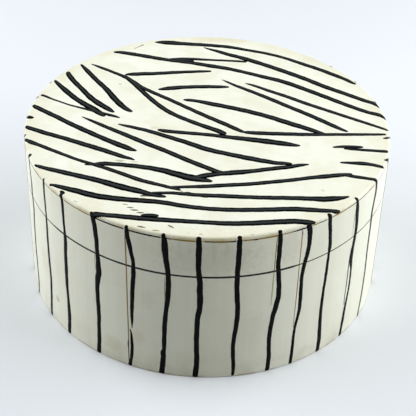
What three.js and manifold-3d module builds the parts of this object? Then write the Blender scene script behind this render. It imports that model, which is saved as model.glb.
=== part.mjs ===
import * as THREE from 'three';
import { mergeVertices } from 'three/addons/utils/BufferGeometryUtils.js';
import Module from 'manifold-3d';

// Round trinket box, built like a small cask: upright staves glued edge to edge in a ring,
// closed by a floor board and a lid board, then sawn into a base and a lid that lifts off.
// Millimetres, +Z up, the front towards -Y. The origin is the middle of the underside.

const wasm = await Module();
wasm.setup();

// The box
const outerRadius = 90;
const boxHeight = 85;
const wallThickness = 7;

// The saw cut between base and lid, at the middle of its own width
const seamHeight = 62.5;
const sawGap = 0.3;

// The glue line left between neighbouring pieces
const glueGap = 0.3;

// Floor board and lid board, each with a bevelled edge in a bevelled seat in the staves
const boardThickness = 5;
const seatBevel = 2.5;
const boardClearance = 0.3;

// Thin facing disc over the lid board and over the ends of the lid's staves
const facingThickness = 2;
const facingEdgeRadius = 1.2;

// Lip ring, glued inside the base and standing up into the lid
const lipThickness = 3;
const lipBelowSeam = 13;
const lipAboveSeam = 7;
const lipClearance = 0.3;
const lipLeadIn = 1;

// Staves: their widths in degrees, from the joint at the far left round the front to the far right.
// The hidden back is shared evenly, and there the lid's staves are modelled in glued pairs.
const firstJointDegrees = -91;
const seenStaveDegrees = [9, 10.5, 14.5, 10.5, 13, 11, 11.5, 9.5, 11.5, 11, 8, 10.5, 10.5, 12, 12.5, 12];
const backStaveCount = 16;
const stavesPerBackPair = 2;

// Facets: the largest turn in one facet of a stave, and the counts on full circles and on small rounds
const staveFacetDegrees = 3;
const circleFacets = 128;
const edgeFacets = 4;

const paint = new THREE.MeshStandardMaterial({ color: 0xf3f2e0, roughness: 0.45, metalness: 0 });
const bareWood = new THREE.MeshStandardMaterial({ color: 0xc79f6b, roughness: 0.75, metalness: 0 });

// Places that follow from the sizes above
const innerFlat = outerRadius - wallThickness;
const baseTop = seamHeight - sawGap / 2;
const lidBottom = seamHeight + sawGap / 2;
const facingBottom = boxHeight - facingThickness;
const lidStaveTop = facingBottom - glueGap;

function toManifold(geometry) {
  const bare = geometry.clone();
  bare.deleteAttribute('normal');
  bare.deleteAttribute('uv');
  const merged = mergeVertices(bare);
  return new wasm.Manifold(new wasm.Mesh({
    numProp: 3,
    vertProperties: new Float32Array(merged.getAttribute('position').array),
    triVerts: new Uint32Array(merged.getIndex().array),
  }));
}

function toGeometry(solid) {
  const mesh = solid.getMesh();
  const geometry = new THREE.BufferGeometry();
  geometry.setAttribute('position', new THREE.BufferAttribute(mesh.vertProperties, 3));
  geometry.setIndex(new THREE.BufferAttribute(mesh.triVerts, 1));
  return geometry;
}

// Section of a stave that faces the front: round outside, planed flat inside, radial edges.
function staveSection(degrees) {
  const glueAngle = glueGap / 2 / outerRadius;
  const halfAngle = THREE.MathUtils.degToRad(degrees) / 2 - glueAngle;
  const facets = Math.ceil(degrees / staveFacetDegrees);
  const halfFlat = innerFlat * Math.tan(halfAngle);
  const section = new THREE.Shape();
  section.moveTo(halfFlat, -innerFlat);
  section.lineTo(-halfFlat, -innerFlat);
  for (let i = 0; i <= facets; i += 1) {
    const angle = halfAngle * (2 * i / facets - 1);
    section.lineTo(outerRadius * Math.sin(angle), -outerRadius * Math.cos(angle));
  }
  section.closePath();
  return section;
}

// Wedge that planes the sloping seat of a board off the inner foot of a stave.
function seatCutter() {
  const slope = seatBevel / boardThickness;
  const spare = wallThickness;
  const cutWidth = 2 * outerRadius;
  const profile = new THREE.Shape();
  profile.moveTo(-innerFlat + spare, -spare);
  profile.lineTo(-innerFlat + spare, boardThickness + spare);
  profile.lineTo(-innerFlat + slope * spare, boardThickness + spare);
  profile.lineTo(-innerFlat - seatBevel - slope * spare, -spare);
  profile.closePath();
  const cutter = new THREE.ExtrudeGeometry(profile, { depth: cutWidth, bevelEnabled: false });
  cutter.translate(0, 0, -cutWidth / 2);
  const acrossStave = new THREE.Matrix4().makeBasis(
    new THREE.Vector3(0, 1, 0),
    new THREE.Vector3(0, 0, 1),
    new THREE.Vector3(1, 0, 0),
  );
  return cutter.applyMatrix4(acrossStave);
}

// A stave that stands on its seat end, at the front of the ring.
function staveGeometry(degrees, height) {
  const blank = new THREE.ExtrudeGeometry(staveSection(degrees), { depth: height, bevelEnabled: false });
  return toGeometry(toManifold(blank).subtract(toManifold(seatCutter())));
}

function roundGeometry(profile) {
  const geometry = new THREE.LatheGeometry(profile, circleFacets);
  return geometry.rotateX(Math.PI / 2);
}

// A board wider at its outer face, so that it wedges into the bevelled seats. Its outer face is at z 0.
function boardGeometry() {
  const innerFaceRadius = innerFlat - boardClearance;
  return roundGeometry([
    new THREE.Vector2(0, 0),
    new THREE.Vector2(innerFaceRadius + seatBevel, 0),
    new THREE.Vector2(innerFaceRadius, boardThickness),
    new THREE.Vector2(0, boardThickness),
  ]);
}

function facingGeometry() {
  const profile = [new THREE.Vector2(0, 0), new THREE.Vector2(outerRadius, 0)];
  for (let i = 0; i <= edgeFacets; i += 1) {
    const angle = Math.PI / 2 * i / edgeFacets;
    profile.push(new THREE.Vector2(
      outerRadius - facingEdgeRadius * (1 - Math.cos(angle)),
      facingThickness - facingEdgeRadius * (1 - Math.sin(angle)),
    ));
  }
  profile.push(new THREE.Vector2(0, facingThickness));
  return roundGeometry(profile);
}

function lipGeometry() {
  const lipOuter = innerFlat - lipClearance;
  const lipInner = lipOuter - lipThickness;
  const lipHeight = lipBelowSeam + lipAboveSeam;
  return roundGeometry([
    new THREE.Vector2(lipInner, 0),
    new THREE.Vector2(lipOuter, 0),
    new THREE.Vector2(lipOuter, lipHeight - lipLeadIn),
    new THREE.Vector2(lipOuter - lipLeadIn, lipHeight),
    new THREE.Vector2(lipInner, lipHeight),
    new THREE.Vector2(lipInner, 0),
  ]);
}

function namedMesh(name, geometry, material) {
  const mesh = new THREE.Mesh(geometry, material);
  mesh.name = name;
  return mesh;
}

// Every stave of the ring in turn: its number, its width and the turn of its middle from the front.
function ringOfStaves() {
  const seenDegrees = seenStaveDegrees.reduce((sum, degrees) => sum + degrees, 0);
  const backDegrees = (360 - seenDegrees) / backStaveCount;
  const allDegrees = [...seenStaveDegrees, ...Array(backStaveCount).fill(backDegrees)];
  let edge = firstJointDegrees;
  return allDegrees.map((degrees, index) => {
    const stave = { label: String(index + 1).padStart(2, '0'), degrees, turn: edge + degrees / 2 };
    edge += degrees;
    return stave;
  });
}

// Joins each two neighbours at the back into one piece of double width.
function pairedAtBack(staves) {
  const seen = staves.slice(0, seenStaveDegrees.length);
  const back = staves.slice(seenStaveDegrees.length);
  const pairs = [];
  for (let i = 0; i < back.length; i += stavesPerBackPair) {
    const group = back.slice(i, i + stavesPerBackPair);
    const last = group[group.length - 1];
    pairs.push({
      label: `pair_${group[0].label}_${last.label}`,
      degrees: group.reduce((sum, stave) => sum + stave.degrees, 0),
      turn: (group[0].turn + last.turn) / 2,
    });
  }
  return [...seen, ...pairs];
}

function buildBase() {
  const base = new THREE.Group();
  for (const stave of ringOfStaves()) {
    const mesh = namedMesh(`base_stave_${stave.label}`, staveGeometry(stave.degrees, baseTop), paint);
    mesh.rotation.z = THREE.MathUtils.degToRad(stave.turn);
    base.add(mesh);
  }
  base.add(namedMesh('floor_board', boardGeometry(), bareWood));
  const lip = namedMesh('lip_ring', lipGeometry(), bareWood);
  lip.position.z = seamHeight - lipBelowSeam;
  base.add(lip);
  return base;
}

function buildLid() {
  const lid = new THREE.Group();
  for (const stave of pairedAtBack(ringOfStaves())) {
    const geometry = staveGeometry(stave.degrees, lidStaveTop - lidBottom).rotateY(Math.PI);
    const mesh = namedMesh(`lid_stave_${stave.label}`, geometry, paint);
    mesh.rotation.z = THREE.MathUtils.degToRad(stave.turn);
    mesh.position.z = lidStaveTop;
    lid.add(mesh);
  }
  const board = namedMesh('lid_board', boardGeometry().rotateX(Math.PI), bareWood);
  board.position.z = lidStaveTop;
  lid.add(board);
  const facing = namedMesh('lid_facing', facingGeometry(), paint);
  facing.position.z = facingBottom;
  lid.add(facing);
  return lid;
}

const trinketBox = new THREE.Group();
trinketBox.add(buildBase(), buildLid());

export default trinketBox;
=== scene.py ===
"""Looks of a round trinket box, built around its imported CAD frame. Written for Blender 4.5.

The box is staved like a small cask, closed by a floor board and a faced lid board, painted ivory and
striped by hand in black. Sizes are in millimetres until a piece is finished, which scales it to metres.
Turns are degrees round the box, from the front towards the viewer's right.
"""

import logging
import math
import random
from collections.abc import Callable, Sequence
from dataclasses import dataclass, replace
from enum import Enum

import bmesh
import bpy
from mathutils import Matrix, Vector

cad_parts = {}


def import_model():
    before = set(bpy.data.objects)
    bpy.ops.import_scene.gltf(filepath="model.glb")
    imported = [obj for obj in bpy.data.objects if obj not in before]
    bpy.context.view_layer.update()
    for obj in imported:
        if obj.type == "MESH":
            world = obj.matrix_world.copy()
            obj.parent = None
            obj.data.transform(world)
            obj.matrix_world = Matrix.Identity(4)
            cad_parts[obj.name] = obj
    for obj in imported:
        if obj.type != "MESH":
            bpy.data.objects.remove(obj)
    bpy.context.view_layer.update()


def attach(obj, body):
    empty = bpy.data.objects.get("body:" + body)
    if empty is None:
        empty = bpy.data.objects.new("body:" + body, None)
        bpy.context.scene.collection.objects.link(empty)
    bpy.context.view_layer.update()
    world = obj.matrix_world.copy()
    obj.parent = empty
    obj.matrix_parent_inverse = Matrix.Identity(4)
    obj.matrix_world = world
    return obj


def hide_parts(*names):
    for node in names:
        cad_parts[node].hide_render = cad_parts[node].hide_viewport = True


LOG = logging.getLogger("trinket_box")
METRES_PER_MM = 0.001
GRAIN_MAP = "grain"
TINT_ATTRIBUTE = "board_tint"
ACROSS_ATTRIBUTE = "across_mark"
ROW_LAYER = "row"
TEXTURE_MIDDLE = 0.5

Colour = tuple[float, float, float, float]
PathPoint = tuple[float, float, float]
Corners = list[bmesh.types.BMVert]


def linear(red: float, green: float, blue: float) -> Colour:
    """Turns a colour as a screen shows it into the linear colour that a shader takes.

    Args:
        red: Red, from 0 to 1.
        green: Green, from 0 to 1.
        blue: Blue, from 0 to 1.

    Returns:
        The linear colour, with full alpha.
    """
    toe, toe_slope, offset, power = 0.04045, 12.92, 0.055, 2.4
    channels = [
        c / toe_slope if c <= toe else ((c + offset) / (1 + offset)) ** power
        for c in (red, green, blue)
    ]
    return (channels[0], channels[1], channels[2], 1.0)


def around(turn: float, radius: float, height: float = 0.0) -> Vector:
    """Gives a point by its turn round the box.

    Args:
        turn: Turn from the front, in radians.
        radius: Distance from the axis.
        height: Height above the underside.

    Returns:
        The point in the frame of the box.
    """
    return Vector((radius * math.sin(turn), -radius * math.cos(turn), height))


@dataclass(frozen=True)
class BoxSizes:
    """Sizes that several sub-assemblies share, in millimetres, as the CAD has them."""

    outer_radius: float = 90.0
    height: float = 85.0
    wall: float = 7.0
    base_top: float = 62.35
    lid_bottom: float = 62.65
    lid_stave_top: float = 82.9
    facing_bottom: float = 83.0
    facing_edge_radius: float = 1.2
    foot_radius: float = 0.4
    board_thickness: float = 5.0
    seat_bevel: float = 2.5
    board_clearance: float = 0.3
    first_joint: float = -91.0
    seen_staves: tuple[float, ...] = (
        9, 10.5, 14.5, 10.5, 13, 11, 11.5, 9.5, 11.5, 11, 8, 10.5, 10.5, 12, 12.5, 12,
    )
    back_staves: int = 16

    @property
    def inner_flat(self) -> float:
        """Distance from the axis to the planed inner face of a stave."""
        return self.outer_radius - self.wall

    @property
    def saw_height(self) -> float:
        """Height of the middle of the saw cut."""
        return (self.base_top + self.lid_bottom) / 2

    @property
    def stave_widths(self) -> list[float]:
        """Width of each stave in degrees, from the first joint round by the front."""
        back = (360 - sum(self.seen_staves)) / self.back_staves
        return [*self.seen_staves, *[back] * self.back_staves]


BOX = BoxSizes()


# Finishes


Feed = float | Sequence[float] | bpy.types.NodeSocket


class NodeBench:
    """A node tree under construction, with short ways to add and join its nodes."""

    def __init__(self, tree: bpy.types.NodeTree) -> None:
        """Starts from an empty tree.

        Args:
            tree: The node tree to fill.
        """
        self.tree = tree
        tree.nodes.clear()

    def feed(self, socket: bpy.types.NodeSocket, value: Feed) -> None:
        """Links a socket to an input, or sets the input's own value.

        Args:
            socket: The input to feed.
            value: An output socket, a number or a vector.
        """
        if isinstance(value, bpy.types.NodeSocket):
            self.tree.links.new(value, socket)
        else:
            socket.default_value = value

    def add(self, kind: str, inputs: dict[str, Feed] | None = None, **settings: object) -> bpy.types.Node:
        """Adds a node.

        Args:
            kind: Blender's name of the node type.
            inputs: What feeds each named input.
            **settings: The node's own properties.

        Returns:
            The new node.
        """
        node = self.tree.nodes.new(kind)
        for name, value in settings.items():
            setattr(node, name, value)
        for name, value in (inputs or {}).items():
            self.feed(node.inputs[name], value)
        return node

    def operate(self, kind: str, values: Sequence[Feed], **settings: object) -> bpy.types.Node:
        """Adds a node and feeds its inputs in order.

        Args:
            kind: Blender's name of the node type.
            values: What feeds its inputs.
            **settings: The node's own properties.

        Returns:
            The new node.
        """
        node = self.add(kind, **settings)
        for socket, value in zip(node.inputs, values):
            self.feed(socket, value)
        return node

    def math(self, operation: str, *values: Feed, clamp: bool = False) -> bpy.types.NodeSocket:
        """Adds a Math node.

        Args:
            operation: The operation's name, such as MULTIPLY.
            *values: What feeds its inputs, in order.
            clamp: Whether the result is held between 0 and 1.

        Returns:
            The result's socket.
        """
        return self.operate("ShaderNodeMath", values, operation=operation, use_clamp=clamp).outputs[0]

    def vector(self, operation: str, *values: Feed) -> bpy.types.NodeSocket:
        """Adds a Vector Math node.

        Args:
            operation: The operation's name, such as MULTIPLY.
            *values: What feeds its inputs, in order.

        Returns:
            The result's socket: a number for LENGTH, otherwise a vector.
        """
        node = self.operate("ShaderNodeVectorMath", values, operation=operation)
        return node.outputs["Value" if operation == "LENGTH" else "Vector"]

    def weighted(self, start: Feed, *terms: tuple[Feed, float]) -> bpy.types.NodeSocket:
        """Adds up values, each times its weight.

        Args:
            start: What they are added to.
            *terms: Each value with its weight.

        Returns:
            The sum's socket.
        """
        total = start
        for value, weight in terms:
            total = self.math("MULTIPLY_ADD", value, weight, total)
        return total

    def centred(self, value: Feed, amount: Feed) -> bpy.types.NodeSocket:
        """Centres a texture's value on 0 and scales it."""
        return self.math("MULTIPLY", self.math("SUBTRACT", value, TEXTURE_MIDDLE), amount)

    def drawn_out(self, vector: Feed, share: float) -> bpy.types.NodeSocket:
        """Draws a texture out along the first axis of its vector, which is scaled by the share."""
        return self.vector("MULTIPLY", vector, (share, 1.0, 1.0))

    def ramp(
        self, value: Feed, low: float, high: float, start: float = 0.0, end: float = 1.0
    ) -> bpy.types.NodeSocket:
        """Adds a smooth Map Range from low to high.

        Args:
            value: What is mapped.
            low: The value that gives start.
            high: The value that gives end.
            start: The result at low.
            end: The result at high.

        Returns:
            The result's socket.
        """
        inputs = {"Value": value, "From Min": low, "From Max": high, "To Min": start, "To Max": end}
        return self.add("ShaderNodeMapRange", inputs, interpolation_type="SMOOTHSTEP").outputs["Result"]

    def mix(self, factor: Feed, first: Feed, second: Feed) -> bpy.types.NodeSocket:
        """Mixes two colours.

        Args:
            factor: Share of the second colour, which the node holds between 0 and 1.
            first: The colour at 0.
            second: The colour at 1.

        Returns:
            The colour's socket.
        """
        node = self.add("ShaderNodeMix", data_type="RGBA")
        factor_input, first_input, second_input, colour_output = 0, 6, 7, 2
        self.feed(node.inputs[factor_input], factor)
        self.feed(node.inputs[first_input], first)
        self.feed(node.inputs[second_input], second)
        return node.outputs[colour_output]

    def noise(self, vector: Feed, scale: Feed, detail: float, roughness: float) -> bpy.types.NodeSocket:
        """Adds a noise texture.

        Args:
            vector: Where it is read.
            scale: Its scale, in features per metre where the vector is in metres.
            detail: Octaves.
            roughness: Weight of the finer octaves.

        Returns:
            The value's socket.
        """
        inputs = {"Vector": vector, "Scale": scale, "Detail": detail, "Roughness": roughness}
        return self.add("ShaderNodeTexNoise", inputs).outputs[0]

    def group(self, name: str, inputs: dict[str, Feed]) -> bpy.types.Node:
        """Places a node group that is already built, and feeds its named inputs."""
        return self.add("ShaderNodeGroup", inputs, node_tree=bpy.data.node_groups[name])

    def mottle(self, vector: Feed, scale: float, amount: float) -> bpy.types.NodeSocket:
        """Reads the mottle group at a vector."""
        return self.group("mottle", {"Vector": vector, "Scale": scale, "Amount": amount}).outputs["Value"]

    def streaks(self, vector: Feed, fineness: float) -> bpy.types.NodeSocket:
        """Reads the streaks group at a vector."""
        return self.group("streaks", {"Vector": vector, "Fineness": fineness}).outputs["Value"]

    def place(self) -> bpy.types.NodeSocket:
        """Reads the place on the box, in metres."""
        return self.add("ShaderNodeTexCoord").outputs["Object"]

    def grain_place(self) -> bpy.types.NodeSocket:
        """Reads the place on the grain map, in metres."""
        return self.add("ShaderNodeUVMap", uv_map=GRAIN_MAP).outputs["UV"]

    def attribute(self, name: str) -> bpy.types.NodeSocket:
        """Reads a number that the mesh carries."""
        return self.add("ShaderNodeAttribute", attribute_name=name).outputs["Fac"]

    def axis(self, place: Feed, name: str) -> bpy.types.NodeSocket:
        """Reads one axis of a place."""
        return self.add("ShaderNodeSeparateXYZ", {"Vector": place}).outputs[name]

    def from_axis(self, place: Feed) -> bpy.types.NodeSocket:
        """Measures the distance of a place from the axis of the box."""
        return self.vector("LENGTH", self.vector("MULTIPLY", place, (1.0, 1.0, 0.0)))

    def surface(
        self, colour: Feed, roughness: Feed, relief: Feed, strength: float, depth: float, gloss: float = 0.5
    ) -> None:
        """Ends a material with one shader over a low relief.

        Args:
            colour: Its colour.
            roughness: Its roughness.
            relief: Height of the relief, without a unit.
            strength: How strongly the relief shows.
            depth: Depth of the relief, in metres.
            gloss: Specular level, which is 0.5 for an ordinary surface.
        """
        bump = self.add("ShaderNodeBump", {"Strength": strength, "Distance": depth, "Height": relief})
        inputs = {"Base Color": colour, "Roughness": roughness, "Normal": bump.outputs["Normal"]}
        shader = self.add("ShaderNodeBsdfPrincipled", {**inputs, "Specular IOR Level": gloss})
        self.add("ShaderNodeOutputMaterial", {"Surface": shader.outputs["BSDF"]})


def new_material(name: str) -> tuple[bpy.types.Material, NodeBench]:
    """Starts a material.

    Args:
        name: The material's name.

    Returns:
        The material and the bench for its tree.
    """
    material = bpy.data.materials.new(name)
    material.use_nodes = True
    return material, NodeBench(material.node_tree)


def new_group(
    name: str, inputs: dict[str, str], outputs: dict[str, str]
) -> tuple[NodeBench, bpy.types.Node, bpy.types.Node]:
    """Starts a shader node group with named sockets.

    Args:
        name: The group's name.
        inputs: Socket type of each input, Float or Vector or Color.
        outputs: Socket type of each output.

    Returns:
        The bench for its tree, its input node and its output node.
    """
    tree = bpy.data.node_groups.new(name, "ShaderNodeTree")
    bench = NodeBench(tree)
    for direction, sockets in (("INPUT", inputs), ("OUTPUT", outputs)):
        for socket, kind in sockets.items():
            tree.interface.new_socket(socket, in_out=direction, socket_type=f"NodeSocket{kind}")
    return bench, bench.add("NodeGroupInput"), bench.add("NodeGroupOutput")


def build_mottle_group() -> None:
    """Uneven density of a coat of paint: soft clouds with finer clouds in them, centred on 0."""
    bench, given, made = new_group(
        "mottle", {"Vector": "Vector", "Scale": "Float", "Amount": "Float"}, {"Value": "Float"}
    )
    clouds = bench.noise(given.outputs["Vector"], given.outputs["Scale"], detail=4.0, roughness=0.55)
    bench.feed(made.inputs["Value"], bench.centred(clouds, given.outputs["Amount"]))


def build_streak_group() -> None:
    """Long marks of a brush or of wood fibre along the first axis of a vector, centred on 0."""
    bench, given, made = new_group("streaks", {"Vector": "Vector", "Fineness": "Float"}, {"Value": "Float"})
    vector = bench.drawn_out(given.outputs["Vector"], 0.03)
    streaks = bench.noise(vector, given.outputs["Fineness"], detail=3.0, roughness=0.6)
    bench.feed(made.inputs["Value"], bench.math("SUBTRACT", streaks, TEXTURE_MIDDLE))


def build_grain_group() -> None:
    """Wood grain along the first axis of a vector: growth rings, fibres and open pores."""
    bench, given, made = new_group(
        "wood_grain",
        {"Vector": "Vector", "Ring Scale": "Float", "Pore Scale": "Float"},
        {"Rings": "Float", "Fibres": "Float", "Pores": "Float"},
    )
    along = given.outputs["Vector"]
    ring_turns, early_wood, late_wood = 26.0, -0.7, 1.0
    fibre_scale, pore_edge, pore_middle = 1700.0, 0.66, 0.76
    slope = bench.noise(bench.drawn_out(along, 0.09), given.outputs["Ring Scale"], detail=1.5, roughness=0.4)
    wave = bench.math("SINE", bench.math("MULTIPLY", slope, ring_turns * math.pi))
    bench.feed(made.inputs["Rings"], bench.ramp(wave, early_wood, late_wood))
    fibres = bench.noise(bench.drawn_out(along, 0.02), fibre_scale, detail=3.0, roughness=0.65)
    bench.feed(made.inputs["Fibres"], bench.math("SUBTRACT", fibres, TEXTURE_MIDDLE))
    pores = bench.noise(bench.drawn_out(along, 0.12), given.outputs["Pore Scale"], detail=1.0, roughness=0.4)
    bench.feed(made.inputs["Pores"], bench.ramp(pores, pore_edge, pore_middle))


def build_wear_group() -> None:
    """Patchy wear in a band round the box at one height, read in Object coordinates."""
    bench, given, made = new_group(
        "edge_wear",
        {"Vector": "Vector", "Height": "Float", "Reach": "Float", "Patches": "Float", "Amount": "Float"},
        {"Mask": "Float"},
    )
    place = given.outputs["Vector"]
    patch_edge, patch_middle = 0.42, 0.62
    away = bench.math("ABSOLUTE", bench.math("SUBTRACT", bench.axis(place, "Z"), given.outputs["Height"]))
    nearness = bench.math("SUBTRACT", 1.0, bench.math("DIVIDE", away, given.outputs["Reach"]), clamp=True)
    patches = bench.noise(place, given.outputs["Patches"], detail=4.0, roughness=0.6)
    worn = bench.math("MULTIPLY", nearness, bench.ramp(patches, patch_edge, patch_middle))
    bench.feed(made.inputs["Mask"], bench.math("MULTIPLY", worn, given.outputs["Amount"], clamp=True))


def build_stain_and_shade_group() -> None:
    """A soft patch of colour at one place, with an uneven outline, read in Object coordinates, for the stains
    and the painted shade.
    """
    bench, given, made = new_group(
        "stain_and_shade",
        {"Vector": "Vector", "Centre": "Vector", "Reach": "Vector", "Amount": "Float"},
        {"Mask": "Float"},
    )
    place = given.outputs["Vector"]
    cloud_scale, unevenness, rim, core = 420.0, 1.4, 1.0, 0.3
    away = bench.vector("SUBTRACT", place, given.outputs["Centre"])
    distance = bench.vector("LENGTH", bench.vector("DIVIDE", away, given.outputs["Reach"]))
    clouds = bench.noise(place, cloud_scale, detail=4.0, roughness=0.6)
    uneven = bench.math("ADD", distance, bench.centred(clouds, unevenness))
    mask = bench.ramp(uneven, rim, core)
    bench.feed(made.inputs["Mask"], bench.math("MULTIPLY", mask, given.outputs["Amount"]))


@dataclass(frozen=True)
class StainAndShade:
    """A soft patch of colour in the paint, in millimetres, with how far it reaches along each axis. Most are
    stains; one is painted shade.
    """

    centre: Vector
    reach: tuple[float, float, float]
    colour: Colour
    amount: float

    @staticmethod
    def on_wall(
        turn: float, height: float, wide: float, tall: float, colour: Colour, amount: float
    ) -> "StainAndShade":
        """Places a stain on the wall, by its turn in degrees and its height."""
        return StainAndShade(around(math.radians(turn), BOX.outer_radius, height), (wide, wide, tall), colour, amount)

    @staticmethod
    def on_top(
        across: float, back: float, wide: float, deep: float, colour: Colour, amount: float
    ) -> "StainAndShade":
        """Places a stain on the top, by its place across and back from the middle."""
        reach_down = 1.5
        return StainAndShade(Vector((across, back, BOX.height)), (wide, deep, reach_down), colour, amount)


TAN_TINT = linear(0.80, 0.75, 0.58)
CREAM_TINT = linear(0.90, 0.87, 0.75)
GREY_TINT = linear(0.78, 0.78, 0.70)
SMUDGE_TINT = linear(0.62, 0.61, 0.50)

STAINS_AND_SHADE = (
    StainAndShade.on_wall(-52, 16, 2.2, 2.6, TAN_TINT, 0.75),
    StainAndShade.on_wall(-72, 27, 3.5, 7, TAN_TINT, 0.3),
    StainAndShade.on_wall(-60, 33, 6, 12, CREAM_TINT, 0.3),
    StainAndShade.on_wall(-19, 20, 4, 6, TAN_TINT, 0.2),
    StainAndShade.on_wall(-28, 10, 8, 7, TAN_TINT, 0.22),
    StainAndShade.on_wall(-7, 77, 1.8, 8, GREY_TINT, 0.2),
    StainAndShade.on_wall(-4, 79, 1.4, 6, GREY_TINT, 0.2),
    StainAndShade.on_wall(3, 76, 1.6, 9, GREY_TINT, 0.22),
    StainAndShade.on_wall(6.5, 79, 1.9, 6, GREY_TINT, 0.25),
    StainAndShade.on_wall(26, 74, 7, 12, GREY_TINT, 0.22),
    StainAndShade.on_wall(-16, 45, 5, 7, GREY_TINT, 0.15),
    # Painted shade: a broad grey patch that darkens the front of the wall around the lid, towards the top.
    StainAndShade.on_wall(2, 73, 30, 15, GREY_TINT, 0.36),
    StainAndShade.on_wall(16, 30, 9, 14, GREY_TINT, 0.12),
    StainAndShade.on_top(55, 68, 9, 6, CREAM_TINT, 0.45),
    StainAndShade.on_top(7, 86, 20, 3.5, CREAM_TINT, 0.7),
    StainAndShade.on_top(-41, -33.3, 3.6, 1.2, SMUDGE_TINT, 0.75),
    StainAndShade.on_top(-34, -33.9, 2.6, 0.8, GREY_TINT, 0.6),
    StainAndShade.on_top(-26, -4, 3.5, 1.4, TAN_TINT, 0.4),
    StainAndShade.on_top(-46, 36, 1.6, 0.9, SMUDGE_TINT, 0.5),
    StainAndShade.on_top(54, -52, 1.2, 1.2, GREY_TINT, 0.6),
)


@dataclass
class Coat:
    """A coat of paint under construction, with its colour so far."""

    bench: NodeBench
    place: Feed
    clouds: Feed
    colour: Feed

    def cover(self, mask: Feed, colour: Colour) -> None:
        """Lays another colour over the coat, as far as the mask says."""
        self.colour = self.bench.mix(mask, self.colour, colour)

    def wear_edge(self, height: float, reach: float, patches: float, amount: float, colour: Colour) -> None:
        """Wears the coat in patches along an edge.

        Args:
            height: The edge's height, in metres.
            reach: How far the wear reaches, in metres.
            patches: Scale of the patches.
            amount: How strongly it is worn.
            colour: What shows where it is worn.
        """
        inputs = {"Vector": self.place, "Height": height, "Reach": reach, "Patches": patches}
        worn = self.bench.group("edge_wear", {**inputs, "Amount": amount})
        self.cover(worn.outputs["Mask"], colour)


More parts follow.
